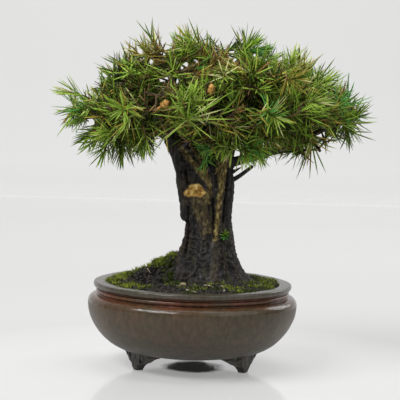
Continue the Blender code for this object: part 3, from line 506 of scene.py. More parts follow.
def bark_material():
    """Dark fissured bark. Attributes say where it is deadwood, a cut scar, and where painted shade darkens
    its furrows.
    """
    nodes = Nodes("bark")
    grain = nodes.noise(820, 7, 0.72, stretch=(1, 1, 0.16))
    dark = nodes.ramp(grain, (0.3, 0.004), (0.5, (0.022, 0.02, 0.019)), (0.68, (0.12, 0.11, 0.108)))
    brown = nodes.ramp(
        grain, (0.3, (0.012, 0.008, 0.004)), (0.52, (0.05, 0.033, 0.018)), (0.7, (0.17, 0.11, 0.062))
    )
    blotch = nodes.ramp(nodes.noise(110, 5, 0.62, stretch=(1, 1, 0.35)), (0.5, 0), (0.62, 0.7))
    film = nodes.ramp(nodes.noise(170, 5, 0.65, stretch=(1, 1, 0.5)), (0.5, 0), (0.6, 0.55))
    algae = nodes.ramp(grain, (0.32, (0.008, 0.009, 0.002)), (0.66, (0.085, 0.082, 0.024)))
    bark = nodes.mix(film, nodes.mix(blotch, dark, brown), algae)
    fleck = nodes.noise(620, 6, 0.7, stretch=(1, 1, 0.45))
    ochre = nodes.ramp(
        fleck, (0.36, (0.02, 0.013, 0.003)), (0.5, (0.15, 0.104, 0.028)), (0.66, (0.54, 0.43, 0.17))
    )
    ring = nodes.noise(330, 4, 0.62)
    cut = nodes.ramp(
        ring, (0.36, (0.19, 0.085, 0.012)), (0.5, (0.56, 0.33, 0.07)), (0.62, (0.83, 0.66, 0.29))
    )
    wood = nodes.mix(nodes.attribute("scar"), nodes.mix(nodes.attribute("deadwood"), bark, ochre), cut)
    # Painted shade: the bark goes dark in its furrows and clefts, and low on the trunk's left
    painted_furrow_shade = nodes.mix(nodes.attribute("painted_furrow_shade"), (1, 1, 1), (0.1, 0.09, 0.09))
    nodes.shade(Base_Color=nodes.mix(1, wood, painted_furrow_shade, "MULTIPLY"), Roughness=0.7, Specular_IOR_Level=0.3)
    nodes.bump(nodes.noise(1500, 5, 0.7, stretch=(1, 1, 0.16)), 0.6, 0.25 * MM)
    return nodes.material


# The glaze's colours by the share of the pot's height: foot, belly, the hollow under the lip, lip. The
# darkening of the lower belly and feet is painted shade under the belly
GLAZE_AND_SHADE_BANDS = (
            (0.0, (0.01, 0.008, 0.006)),
            (0.18, (0.022, 0.015, 0.01)),
            (0.45, (0.07, 0.047, 0.028)),
            (0.8, (0.076, 0.048, 0.028)),
            (0.845, (0.115, 0.038, 0.017)),
            (0.92, (0.11, 0.036, 0.017)),
            (0.955, (0.074, 0.06, 0.045)),
            (0.985, (0.07, 0.06, 0.046)),
            (1.0, (0.06, 0.052, 0.04)),
)


def glaze_material():
    """A glossy brown glaze: grey on the lip, red in the hollow under it, mottled on the belly, and darkened
    by painted shade towards the foot.
    """
    nodes = Nodes("brown_glaze")
    level = nodes.share_along("Z", -SOLE_LEVEL, POT_HIGH.z)
    # Painted shade: the glaze's colour darkens from the lower belly down to the feet
    glaze_and_shade = nodes.ramp(level, *GLAZE_AND_SHADE_BANDS)
    mottle = nodes.ramp(nodes.noise(45, 7, 0.68, stretch=(1, 1, 1.6)), (0.42, 0), (0.6, 1))
    colour = nodes.mix(mottle, glaze_and_shade, nodes.mix(0.6, glaze_and_shade, (0.05, 0.047, 0.024)))
    streaks = nodes.ramp(nodes.noise(420, 5, 0.7, stretch=(1, 1, 0.5)), (0.36, 0.72), (0.66, 1.3))
    gloss = nodes.ramp(level, (0, 0.42), (0.74, 0.4), (0.775, 0.15), (1, 0.24))
    colour = nodes.mix(1, colour, streaks, "MULTIPLY")
    nodes.shade(Base_Color=colour, Roughness=gloss, Specular_IOR_Level=0.42)
    nodes.bump(nodes.noise(170, 5, 0.6, stretch=(1, 1, 4)), 0.35, 0.7 * MM)
    return nodes.material


def ground_material():
    """Dark wet soil, with moss where the attribute says so."""
    nodes = Nodes("soil")
    grain = nodes.noise(1100, 5, 0.7)
    earth = nodes.ramp(grain, (0.34, 0.002), (0.58, (0.008, 0.007, 0.006)), (0.76, (0.06, 0.052, 0.042)))
    green = nodes.ramp(
        grain, (0.34, (0.003, 0.005, 0.001)), (0.58, (0.014, 0.023, 0.003)), (0.76, (0.07, 0.092, 0.014))
    )
    colour = nodes.mix(nodes.attribute("moss"), earth, green)
    nodes.shade(Base_Color=colour, Roughness=0.95, Specular_IOR_Level=0.15)
    nodes.bump(nodes.noise(1900, 4, 0.7), 0.7, 0.4 * MM)
    return nodes.material


# Meshes


def object_of(name, mesh, finish, smooth=True):
    """Puts a mesh into the scene with its finish."""
    made = bpy.data.objects.new(name, mesh)
    bpy.context.scene.collection.objects.link(made)
    mesh.materials.append(finish)
    if smooth:
        mesh.shade_smooth()
    return made


def object_from(name, points, faces, finish):
    mesh = bpy.data.meshes.new(name)
    mesh.from_pydata([tuple(p) for p in points], [], faces)
    mesh.validate()
    return object_of(name, mesh, finish)


def object_from_arrays(name, points, quads, triangles, finish, smooth):
    """A mesh from whole arrays of points, four-sided faces and three-sided faces."""
    mesh = bpy.data.meshes.new(name)
    mesh.vertices.add(len(points))
    mesh.vertices.foreach_set("co", np.asarray(points, np.float32).ravel())
    corners = np.concatenate((quads.ravel(), triangles.ravel())).astype(np.int32)
    mesh.loops.add(len(corners))
    mesh.loops.foreach_set("vertex_index", corners)
    sizes = np.concatenate((np.full(len(quads), 4), np.full(len(triangles), 3)))
    starts = np.concatenate(([0], np.cumsum(sizes)[:-1]))
    mesh.polygons.add(len(sizes))
    mesh.polygons.foreach_set("loop_start", starts.astype(np.int32))
    mesh.update(calc_edges=True)
    return object_of(name, mesh, finish, smooth)


def apply_modifiers(made):
    bpy.context.view_layer.update()
    graph = bpy.context.evaluated_depsgraph_get()
    mesh = bpy.data.meshes.new_from_object(made.evaluated_get(graph))
    made.modifiers.clear()
    made.data = mesh


def remeshed(made, voxel, rounds, finish):
    """Gives a shape one even skin of small faces, softened, with its finish alone."""
    remesh = made.modifiers.new("remesh", "REMESH")
    remesh.mode = "VOXEL"
    remesh.voxel_size = voxel
    made.modifiers.new("soften", "SMOOTH").iterations = rounds
    apply_modifiers(made)
    made.data.materials.clear()
    made.data.materials.append(finish)
    made.data.shade_smooth()


def read(mesh, kind):
    """The places, "co", or the normals of a mesh's points as an array."""
    values = np.empty(len(mesh.vertices) * 3)
    mesh.vertices.foreach_get(kind, values)
    return values.reshape(-1, 3)


def set_points(mesh, points):
    mesh.vertices.foreach_set("co", np.asarray(points, np.float32).ravel())
    mesh.update()


def push_out(mesh, lifts):
    """Moves each point of a mesh along its normal, by its number of millimetres."""
    set_points(mesh, read(mesh, "co") + read(mesh, "normal") * (lifts * MM)[:, None])


def set_attribute(mesh, name, values):
    layer = mesh.attributes.new(name, "FLOAT", "POINT")
    layer.data.foreach_set("value", np.asarray(values, np.float32))


def noise_at(places):
    """Smooth noise between about -1 and 1 at each place of an array."""
    return np.array([noise.noise(place) for place in places])


def ridges_at(places):
    """Noise with sharp crests, 1 on a crest and 0 far from one."""
    return 1.0 - np.abs(noise_at(places)) * 1.6


def around(count):
    """The pairs of neighbours round a ring."""
    return [(k, (k + 1) % count) for k in range(count)]


def ring_faces(rings, sides):
    """The faces between rings of points, which follow one another in the list of points."""
    lows = range(0, (rings - 1) * sides, sides)
    steps = [(low + k, low + after) for low in lows for k, after in around(sides)]
    return [(a, a + sides, b + sides, b) for a, b in steps]


def face_outwards(mesh):
    shape = bmesh.new()
    shape.from_mesh(mesh)
    bmesh.ops.recalc_face_normals(shape, faces=shape.faces)
    shape.to_mesh(mesh)
    shape.free()
    mesh.shade_smooth()


def turned(name, profile, segments, finish):
    """Spins a closed profile of (radius, height) about the pot's axis. Its ends lie on the axis."""
    turns = [2 * math.pi * k / segments for k in range(segments)]
    places = [(r * math.cos(turn), r * math.sin(turn), z) for r, z in profile[1:-1] for turn in turns]
    points = [POT_AXIS + Vector(place) for place in places]
    count, last = len(points), len(points) - segments
    points += [POT_AXIS + Vector((0, 0, z)) for _, z in (profile[0], profile[-1])]
    faces = ring_faces(len(profile) - 2, segments)
    faces += [(count, k, after) for k, after in around(segments)]
    faces += [(count + 1, last + after, last + k) for k, after in around(segments)]
    made = object_from(name, points, faces, finish)
    face_outwards(made.data)
    return made


def rounded(profile, times=2):
    """Cuts the corners off a profile, again and again, so that it runs round."""
    for _ in range(times):
        softer = [profile[0]]
        for (r0, z0), (r1, z1) in zip(profile, profile[1:]):
            softer.append((0.75 * r0 + 0.25 * r1, 0.75 * z0 + 0.25 * z1))
            softer.append((0.25 * r0 + 0.75 * r1, 0.25 * z0 + 0.75 * z1))
        profile = [*softer, profile[-1]]
    return profile


class Builder:
    """Gathers many small closed shapes into the arrays of one mesh."""

    def __init__(self):
        self.points, self.quads, self.triangles, self.count = [], [], [], 0

    def add(self, points, quads, triangles):
        self.points.append(points)
        self.quads.append(np.asarray(quads, np.int64).reshape(-1, 4) + self.count)
        self.triangles.append(np.asarray(triangles, np.int64).reshape(-1, 3) + self.count)
        self.count += len(points)

    def tube(self, points, radii, sides=6):
        """A closed tube along points, with a pointed end."""
        points = np.array([tuple(p) for p in points])
        ahead = np.gradient(points, axis=0)
        ahead /= np.linalg.norm(ahead, axis=1)[:, None]
        side = np.cross(ahead[0], (0.31, 0.17, 0.93))
        rings = []
        turns = 2 * math.pi * np.arange(sides) / sides
        for place, direction, radius in zip(points, ahead, radii):
            side = side - direction * side.dot(direction)
            side /= np.linalg.norm(side)
            other = np.cross(direction, side)
            ring = side[None, :] * np.cos(turns)[:, None] + other[None, :] * np.sin(turns)[:, None]
            rings.append(place + ring * radius)
        tip = points[-1] + ahead[-1] * radii[-1] * 0.8
        root, last = len(points) * sides, (len(points) - 1) * sides
        quads = [(a, d, c, b) for a, b, c, d in ring_faces(len(points), sides)]
        start = [(root, after, k) for k, after in around(sides)]
        end = [(root + 1, last + k, last + after) for k, after in around(sides)]
        self.add(np.concatenate((*rings, points[:1], tip[None, :])), quads, start + end)

    def finished(self, name, finish, smooth=False):
        arrays = (np.concatenate(parts) for parts in (self.points, self.quads, self.triangles))
        return object_from_arrays(name, *arrays, finish, smooth)


# The tree's growth, by the same rule as the solids


class Limb:
    """A tapering limb: its points from root to tip, and its radius at each."""

    def __init__(self, points, radii):
        self.points = points
        self.radii = radii

    def at(self, share):
        place = share * (len(self.points) - 1)
        i = min(int(place), len(self.points) - 2)
        return self.points[i].lerp(self.points[i + 1], place - i)

    def heading(self):
        return (self.points[-1] - self.points[-2]).normalized()


def hermite(start, leave, end, arrive, share):
    """A point on the smooth curve between two places with given directions at both."""
    s2, s3 = share**2, share**3
    return (
        start * (2 * s3 - 3 * s2 + 1)
        + leave * (s3 - 2 * s2 + share)
        + end * (3 * s2 - 2 * s3)
        + arrive * (s3 - s2)
    )


def limb_between(start, end, leave, arrive, root_radius, tip_radius, steps=None):
    span = (end - start).length
    steps = steps or (3 if span < 30 * MM else 5)
    leave = Vector(leave).normalized() * span
    arrive = Vector(arrive).normalized() * span * 0.8
    shares = [i / steps for i in range(steps + 1)]
    points = [hermite(start, leave, end, arrive, share) for share in shares]
    return Limb(points, [tip_radius + (root_radius - tip_radius) * (1 - share) ** 1.2 for share in shares])


def all_limbs():
    """The limbs of the solids, and the same limbs with finer steps for the looks."""
    coarse, fine = {}, {}
    for name, parent, root, tip, leave, arrive, root_mm, tip_mm in LIMBS:
        start, end = pot_point(*root) if parent == "trunk" else coarse[parent].at(root), pot_point(*tip)
        facts = (start, end, leave, arrive, root_mm * MM, tip_mm * MM)
        coarse[name] = limb_between(*facts)
        fine[name] = limb_between(*facts, steps=max(12, round((end - start).length / FINE_STEP)))
    return coarse, fine


def stub_limb():
    """The dead stub, straight, as the solid has it."""
    root, tip, root_mm, tip_mm = DEAD_STUB
    return Limb([pot_point(*root), pot_point(*tip)], [root_mm * MM, tip_mm * MM])


def from_crown_middle(x, y):
    """How far out a place lies in the crown's plan, squared: 0 in its middle and 1 on its edge."""
    return ((x - CROWN_MIDDLE_X) / CROWN_HALF_WIDTH) ** 2 + (y / CROWN_HALF_DEPTH) ** 2


def bulges(x, rows):
    """The sum at x of soft bulges of (middle, width, height) in millimetres."""
    return sum(height * MM * gaussian(x, middle * MM, width * MM) for middle, width, height in rows)


def crown_heights(x, y):
    """The crown's underside and top over a place measured from the pot's axis, or None outside it."""
    share = from_crown_middle(x, y)
    if share >= 1:
        return None
    drop = bulges(x, HANGING_TUFTS) * gaussian(y, HANGING_MIDDLE_Y, HANGING_DEPTH)
    underside = CROWN_UNDERSIDE + CROWN_EDGE_LIFT * share**3
    return underside - drop, CROWN_EDGE_TOP + CROWN_DOME * (1 - share) - bulges(x, CROWN_DIPS)


def in_crown(point, margin):
    """Whether a point lies in the crown, at least margin inside its outline."""
    x, y, z = point - POT_AXIS
    wide = 1 + margin / CROWN_HALF_WIDTH
    heights = crown_heights(CROWN_MIDDLE_X + (x - CROWN_MIDDLE_X) * wide, y * wide)
    return heights is not None and heights[0] + margin <= z <= heights[1] - margin


class Cell:
    """The space of one mass: what lies nearer to its middle than to any other mass's."""

    def __init__(self, name):
        self.middle = pot_point(*MASS_MIDDLES[name])
        self.walls = []
        for other in (pot_point(*place) for key, place in MASS_MIDDLES.items() if key != name):
            normal = (other - self.middle).normalized()
            self.walls.append((normal, normal.dot((other + self.middle) / 2)))

    def holds(self, point, margin=GAP):
        return all(normal.dot(point) < reach - margin for normal, reach in self.walls)


def gaps_to_segments(a, b, starts, ends):
    """The shortest distance from the segment a-b to each of many other segments."""
    along, others = b - a, ends - starts
    between = a - starts
    own_square = max(along @ along, 1e-18)
    squares = np.maximum((others**2).sum(1), 1e-18)
    lean = (others * between).sum(1)
    own_lean = between @ along
    shared = others @ along
    spread = own_square * squares - shared**2
    apart = spread > 1e-20
    s = np.where(apart, (shared * lean - own_lean * squares) / np.where(apart, spread, 1.0), 0.0)
    t = np.clip((shared * np.clip(s, 0, 1) + lean) / squares, 0, 1)
    s = np.clip((shared * t - own_lean) / own_square, 0, 1)
    return np.linalg.norm(a + s[:, None] * along - starts - t[:, None] * others, axis=1)


class Obstacles:
    """Limbs that twigs and needles keep clear of, as thick segments."""

    def __init__(self, limbs):
        rows = []
        for limb in limbs:
            for i in range(len(limb.points) - 1):
                rows.append((*limb.points[i], *limb.points[i + 1], max(limb.radii[i : i + 2])))
        self.rows = np.array(rows)

    def clear(self, start, end, radius):
        rows = self.rows
        gaps = gaps_to_segments(np.array(start), np.array(end), rows[:, 0:3], rows[:, 3:6])
        return bool((gaps > rows[:, 6] + radius + GAP).all())


class Sightlines:
    """Open lines of sight through the crown, kept as places in its middle plane."""

    def __init__(self):
        self.eye = CAMERA_PLACE
        rows = [*HOLLOWS, *((*row, SKY_DEPTH) for row in SKY)]
        x, z, radii, depths = (np.array(column) * MM for column in zip(*rows))
        self.places = np.stack((x + POT_AXIS.x, z + POT_AXIS.z), axis=1)
        self.radii, self.depths = radii, depths + POT_AXIS.y

    def seen(self, point):
        """Where a point is seen in the crown's middle plane."""
        away = point - self.eye
        place = self.eye + away * (CAMERA_DISTANCE / away.y)
        return np.array((place.x, place.z))

    def clear(self, start, end):
        behind = min(start.y, end.y) > self.depths
        start, end = self.seen(start), self.seen(end)
        along = end - start
        share = np.clip((self.places - start) @ along / max(along @ along, 1e-12), 0, 1)
        gaps = np.linalg.norm(self.places - start - share[:, None] * along, axis=1)
        return bool((behind | (gaps > self.radii)).all())


SIGHTLINES = Sightlines()


def unit(rng):
    """A direction picked evenly from the sphere."""
    z, turn = rng.uniform(-1, 1), rng.uniform(0, 2 * math.pi)
    flat = math.sqrt(1 - z * z)
    return Vector((flat * math.cos(turn), flat * math.sin(turn), z))


def nearest(places, goal):
    return min(places, key=lambda place: (place - goal).length)


def spray_places(cell, stem_end, limbs, rng):
    """Where a mass's sprays stand: spread through its cell, those near the stem first."""
    places = []
    for _ in range(SPRAY_TRIES):
        reach = SPRAY_REACH * rng.random() ** 0.4
        place = cell.middle + unit(rng) * reach
        if not in_crown(place, SPRAY_INSET) or not cell.holds(place, SPRAY_ROOM):
            continue
        if not limbs.clear(place, place, SPRAY_ROOM) or (place - stem_end).length < STEM_ROOM:
            continue
        if all((place - other).length > SPRAY_SPACING for other in places):
            places.append(place)
        if len(places) == SPRAYS_IN_A_MASS:
            break
    return sorted(places, key=lambda place: (place - stem_end).length)


class Shoot:
    """A leafy twig end: where it starts and heads, its length, its needles, and their whorls."""

    def __init__(self, base, heading, length, colour, needles, spacing=WHORL_SPACING, leans=(84, 18)):
        self.base, self.heading, self.length = base, heading.normalized(), length
        self.colour, self.needles, self.spacing, self.leans = colour, needles, spacing, leans
        self.has_axis = True
        self.featured = False


def picked(shares, rng):
    return rng.choices(list(shares), list(shares.values()))[0]


def colour_for(place, rng):
    """Picks a shoot's colour by chance, brighter towards the crown's outside."""
    x, y, z = place - POT_AXIS
    for tint_x, tint_z, reach, colours in TINTS:
        if math.hypot(x - tint_x * MM, z - tint_z * MM) < reach * MM and rng.random() < TINT_CHANCE:
            return rng.choice(colours)
    # Shoots high in the crown count as further out, so the top gets the sunnier colours: painted sunlight
    height = (z - CROWN_UNDERSIDE) / (CROWN_EDGE_TOP + CROWN_DOME - CROWN_UNDERSIDE)
    outside = from_crown_middle(x, y) + max(height, 0) ** 2 * 0.55
    return picked(OUTER_SHARES if outside + rng.uniform(-0.25, 0.25) > SUNNY_FROM else INNER_SHARES, rng)


def curved(root, leave, end, arrive):
    return [hermite(root, leave, end, arrive, i / TWIG_STEPS) for i in range(TWIG_STEPS + 1)]


def taper(first, step):
    """A curved twig's radii, from its first one down."""
    return [first - step * i for i in range(TWIG_STEPS + 1)]


class Mass:
    """The twigs and shoots of one mass: the solids' own, with side twigs carried on to finer shoots."""

    def __init__(self, name, limb, limbs, twigs):
        self.limbs, self.twigs = limbs, twigs
        self.cell = Cell(name)
        self.shoots = []
        self.finer = random.Random(name + "_finer")
        rng = random.Random(name)
        start = limb.points[-1] + limb.heading() * GAP
        toward = self.cell.middle - start
        middle = start + limb.heading() * 3 * MM
        stem_end = middle + toward.normalized() * min(STEM_RUN, toward.length * 0.4)
        sunk = limb.points[-1] - limb.heading() * MM
        twigs.tube([sunk, start, middle, stem_end], [radius * MM for radius in STEM_RADII])
        self.nodes = [middle, stem_end]
        for place in spray_places(self.cell, stem_end, limbs, rng):
            self.grow_to(place)

    def grow_to(self, place):
        """A twig from the nearest node to a place, with a shoot at its end and others on its side."""
        root = nearest(self.nodes, place)
        outward = (place - root).normalized()
        bend = root.lerp(place, 0.5) - Vector((0, 0, 0.06)) * (place - root).length
        runs = ((root.lerp(bend, 0.3), bend), (bend, place))
        if not all(self.limbs.clear(*run, TWIG_RADIUS) for run in runs):
            return
        if not self.cell.holds(bend, 1.0 * MM):
            return
        lift = Vector((0, 0, 0.45))
        heading = (outward + lift + (place - self.cell.middle).normalized() * 0.5).normalized()
        self.nodes.extend((bend, place))
        curve = curved(root, outward * 3 * MM, place, heading * 6 * MM)
        curve[2:4] = [p.lerp(bend, 0.35) for p in curve[2:4]]
        self.twigs.tube(curve, taper(0.62 * MM, 0.055 * MM))
        finer = self.finer
        colour = colour_for(place, finer)
        needles = NEEDLE_LENGTH * finer.uniform(0.9, 1.15)
        length = finer.uniform(4.5, 7.0) * MM
        self.shoots.append(Shoot(place - heading * (length - 1.5 * MM), heading, length, colour, needles))
        for near, far in zip(curve[1:4], curve[2:5]):
            run = far - near
            tone = picked(TWIG_SHARES, finer)
            inner = Shoot(near, run, run.length, tone, needles * 0.8, INNER_WHORL_SPACING, (78, 58))
            inner.has_axis = False
            self.shoots.append(inner)
        for _ in range(finer.randint(*SIDE_SHOOTS)):
            self.fork_from(curve, heading, colour)
        for _ in range(INNER_SHOOTS):
            self.fill_from(curve)

    def fork_from(self, curve, heading, colour):
        """A side twig with its own shoot, where there is room for one."""
        finer = self.finer
        fork = curve[finer.randint(2, 5)]
        outward = (fork - self.cell.middle).normalized()
        away = (heading * 0.55 + unit(finer) * 0.95 + outward * 0.35).normalized()
        side_base = fork + away * finer.uniform(3.0, 9.0) * MM
        length = finer.uniform(3.0, 6.0) * MM
        end = side_base + away * length
        if not self.cell.holds(side_base, -1.0 * MM) or not in_crown(end, SIDE_INSET):
            return
        if not self.limbs.clear(fork.lerp(side_base, 0.4), end, SIDE_ROOM) or not SIGHTLINES.clear(fork, end):
            return
        middle = fork.lerp(side_base, 0.5) + Vector((0, 0, 0.4 * MM))
        self.twigs.tube([fork, middle, side_base], [radius * MM for radius in SIDE_RADII], 5)
        tone = colour if finer.random() < OWN_TONE_CHANCE else colour_for(side_base, finer)
        needles = NEEDLE_LENGTH * finer.uniform(0.75, 1.1)
        leans = (finer.uniform(55, 88), finer.uniform(8, 26))
        self.shoots.append(Shoot(side_base, away, length, tone, needles, leans=leans))

    def fill_from(self, curve):
        """A short dark shoot in the shade, close to the twig."""
        base = curve[self.finer.randint(0, 4)]
        away = unit(self.finer)
        end = base + away * 5 * MM
        room = self.cell.holds(end, 0) and in_crown(end, INNER_INSET)
        if room and self.limbs.clear(base.lerp(end, 0.4), end, SIDE_ROOM):
            tone = picked(FILLING_SHARES, self.finer)
            self.shoots.append(Shoot(base + away * MM, away, 4.5 * MM, tone, NEEDLE_LENGTH * 0.75))

    def feature(self, colour, place, heading, needles, leans):
        """A shoot that is set where the photograph shows one, on a twig from the nearest node."""
        heading = Vector(heading).normalized()
        base = place - heading * 4 * MM
        root = nearest(self.nodes, base)
        reach = (base - root).length
        curve = curved(root, (base - root) * 0.6, base, heading * reach * 0.6)
        self.twigs.tube(curve, taper(0.6 * MM, 0.05 * MM))
        spacing = CLOSE_WHORL_SPACING if needles < LONG_NEEDLE else OPEN_WHORL_SPACING
        shoot = Shoot(base, heading, FEATURE_LENGTH, colour, needles, spacing, leans)
        shoot.featured = True
        self.shoots.append(shoot)


def leaf(rings, corners):
    """One closed leaf of unit length along +Z, from rings of (along, width) of the same corners.

    Its columns of points are share along, width share, and height share. Its faces are four-sided
    round it and three-sided at its tip, and one closes its root.
    """
    sides = len(corners)
    last = (len(rings) - 1) * sides
    points = [(along, width * y, width * x) for along, width in rings for y, x in corners]
    points.append((1.0, 0.0, 0.0))
    quads = [(a, d, c, b) for a, b, c, d in ring_faces(len(rings), sides)]
    triangles = [(last + k, last + after, last + sides) for k, after in around(sides)]
    (quads if sides == 4 else triangles).append(tuple(range(sides))[::-1])
    return np.array(points), np.array(quads), np.array(triangles)


# A needle is grooved above (+X) and keeled below. A moss leaf is three-sided, and widest at a third
# of its length
NEEDLE = leaf(((0, 0.65), (0.3, 1), (0.72, 0.74)), ((1, 0), (0, -0.62), (-1, 0), (0, -0.16)))
MOSS_LEAF = leaf(((0, 0.6), (0.35, 1)), ((1, 0), (0, -0.7), (-1, 0)))


def add_needles(builder, rows, shape=NEEDLE):
    """Adds a needle or leaf for each row: root, heading, upper side, length, half width and droop."""
    template, quads, triangles = shape
    rows = np.array(rows)
    roots, directions, uppers = rows[:, 0:3], rows[:, 3:6], rows[:, 6:9]
    lengths, half_widths, droops = rows[:, 9:12].T
    sides = np.cross(uppers, directions)
    sides /= np.linalg.norm(sides, axis=1)[:, None]
    uppers = np.cross(directions, sides)
    along = template[None, :, 0] * lengths[:, None]
    droop = template[None, :, 0] ** 2 * droops[:, None]
    places = (
        roots[:, None, :]
        + directions[:, None, :] * along[..., None]
        + sides[:, None, :] * (template[None, :, 1] * half_widths[:, None])[..., None]
        + uppers[:, None, :] * (template[None, :, 2] * half_widths[:, None] + droop)[..., None]
    )
    count, size = len(roots), len(template)
    offsets = (np.arange(count) * size)[:, None, None]
    builder.add(
        places.reshape(-1, 3),
        (quads[None] + offsets).reshape(-1, 4),
        (triangles[None] + offsets).reshape(-1, 3),
    )


def leaf_out(shoot, cell, limbs, builders, axes, rng):
    """Puts whorls of three needles along a shoot, the newest at its tip leaning forward."""
    heading = shoot.heading
    side = heading.orthogonal().normalized()
    other = heading.cross(side)
    spin = rng.uniform(0, 2 * math.pi)
    whorls = max(2, round(shoot.length / shoot.spacing))
    first, last = shoot.leans
    rows = {}
    for level in range(whorls):
        share = level / (whorls - 1)
        at = shoot.base + heading * shoot.length * share
        for k in range(NEEDLES_IN_A_WHORL):
            turn = spin + math.pi / 3 * (2 * k + level) + rng.gauss(0, 0.22)
            radial = side * math.cos(turn) + other * math.sin(turn)
            lean = math.radians(first + (last - first) * share**1.3 + rng.gauss(0, 9))
            direction = (heading * math.cos(lean) + radial * math.sin(lean)).normalized()
            length = shoot.needles * (1.0 - 0.25 * share) * rng.uniform(0.70, 1.12)
            most = SPIKE_OVERSHOOT if rng.random() < SPIKE_CHANCE else OVERSHOOT
            while not shoot.featured and length > SHORTEST_NEEDLE:
                if in_crown(at + direction * length, -most):
                    break
                length *= 0.88
            end = at + direction * length
            if length <= SHORTEST_NEEDLE or not (shoot.featured or cell.holds(end, -STRAY)):
                continue
            if not limbs.clear(at + direction * 0.3 * length, end, NEEDLE_ROOM):
                continue
            if not SIGHTLINES.clear(at, end):
                continue
            upper = (heading - direction * heading.dot(direction)).normalized()
            colour = rng.choices((PALER[shoot.colour], shoot.colour, DARKER[shoot.colour]), TONE_SHARES)[0]
            width = NEEDLE_HALF_WIDTH * rng.uniform(0.85, 1.12)
            droop = length * rng.uniform(-0.05, 0.07)
            row = (*(at + radial * 0.15 * MM), *direction, *upper, length, width, droop)
            rows.setdefault(colour, []).append(row)
    if shoot.has_axis:
        tip = shoot.base + heading * (shoot.length + 0.8 * MM)
        middle = shoot.base + heading * shoot.length * 0.5
        axes.tube([shoot.base - heading * 1.0 * MM, middle, tip], [0.44 * MM, 0.38 * MM, 0.2 * MM], 5)
    for tone, lines in rows.items():
        add_needles(builders[tone], lines)


def add_long_needles(builders):
    """The single long needles, a little stouter than the rest."""
    for colour, root, tips in LONG_NEEDLES:
        start = pot_point(*root)
        for tip in tips:
            span = (Vector(tip) - Vector(root)) * MM
            sizes = (span.length, min(STOUT_HALF_WIDTH, 0.11 * span.length), 0.03 * span.length)
            row = (*start, *span.normalized(), *span.orthogonal().normalized(), *sizes)
            add_needles(builders[colour], [row])


def make_stumps(limbs, finish):
    """Short cut stumps of pale wood, each on a twig from the nearest bough."""
    builder = Builder()
    for place, thick in STUMPS:
        end = pot_point(*place)
        root = nearest([point for limb in limbs for point in limb.points], end)
        heading = (end - root).normalized()
        builder.tube([root, root.lerp(end, 0.5), end - heading * 5 * MM], [0.9 * MM, 0.9 * MM, 1.1 * MM], 8)
        runs, widths = zip(*STUMP_SHAPE)
        builder.tube([end + heading * run * MM for run in runs], [thick * wide * MM for wide in widths], 9)
    made = builder.finished("stumps", finish, smooth=True)
    push_out(made.data, noise_at(read(made.data, "co") / (1.1 * MM)) * 0.95)
    return made


# Bark


def trunk_stations(step):
    """The trunk's stations, read from a smooth curve through the named ones."""
    heights = np.array([row[0] for row in TRUNK_STATIONS])
    wanted = np.arange(heights[0], heights[-1] + step / 2, step)
    rows = []
    for column in range(1, 4):
        values = np.array([row[column] for row in TRUNK_STATIONS])
        slopes = np.gradient(values, heights)
        i = np.clip(np.searchsorted(heights, wanted, side="right") - 1, 0, len(heights) - 2)
        span = heights[i + 1] - heights[i]
        t = (wanted - heights[i]) / span
        rows.append(hermite(values[i], slopes[i] * span, values[i + 1], slopes[i + 1] * span, t))
    return [tuple(float(v) for v in row) for row in zip(wanted, *rows)]


def trunk_axis(radius=None):
    """The trunk as one thick limb along its own middle, of its own radii or of an even one."""
    points = [pot_point(middle, 0, height) for height, middle, _, _ in TRUNK_STATIONS]
    return Limb(points, [radius or (wide + deep) / 2 * MM for _, _, wide, deep in TRUNK_STATIONS])


def rib_height(turn_deg):
    """How far the trunk's ribs lift its surface at a turn, in millimetres."""
    lift = -RIB_REST
    for middle, half_width, reach in TRUNK_RIBS:
        away = (turn_deg - middle + 180) % 360 - 180
        lift += reach * math.exp(-((away / half_width) ** 2))
    return lift


def trunk_body(finish):
    """The trunk as the solid has it, on smooth curves."""
    sides, points = 112, []
    stations = trunk_stations(1.2)
    lifts = [rib_height(360 * k / sides) for k in range(sides)]
    for height, middle, half_width, half_depth in stations:
        flare = ROOT_FLARE * math.exp(-max(height * MM - TRUNK_FOOT, 0.0) / ROOT_FLARE_HEIGHT)
        lean = math.radians(RIB_LEAN_DEG * (height - RIB_LEVEL))
        for k, lift in enumerate(lifts):
            turn = 2 * math.pi * k / sides + lean
            lobe = 1 + flare * math.cos(ROOT_LOBES * turn + ROOT_LOBE_TURN)
            x = middle + (half_width * lobe + lift) * math.cos(turn)
            points.append(pot_point(x, (half_depth * lobe + lift) * math.sin(turn), height))
    faces = [(a, d, c, b) for a, b, c, d in ring_faces(len(stations), sides)]
    faces += [tuple(range(sides))[::-1], tuple(range(len(points) - sides, len(points)))]
    return object_from("trunk_and_leaders", points, faces, finish)


def nearest_axis(points, limbs):
    """For each point: how far along its nearest limb it lies, its offset from the axis, and the axis."""
    best = np.full(len(points), np.inf)
    along = np.zeros(len(points))
    offset = np.zeros((len(points), 3))
    axis = np.zeros((len(points), 3))
    for limb in limbs:
        run = 0.0
        for i in range(len(limb.points) - 1):
            start, end = np.array(limb.points[i]), np.array(limb.points[i + 1])
            span = np.linalg.norm(end - start)
            direction = (end - start) / span
            share = np.clip((points - start) @ direction, 0, span)
            away = points - start - share[:, None] * direction
            distance = np.linalg.norm(away, axis=1) - limb.radii[i]
            nearer = distance < best
            best[nearer] = distance[nearer]
            along[nearer] = run + share[nearer]
            offset[nearer] = away[nearer]
            axis[nearer] = direction
            run += span
    return along, offset, axis


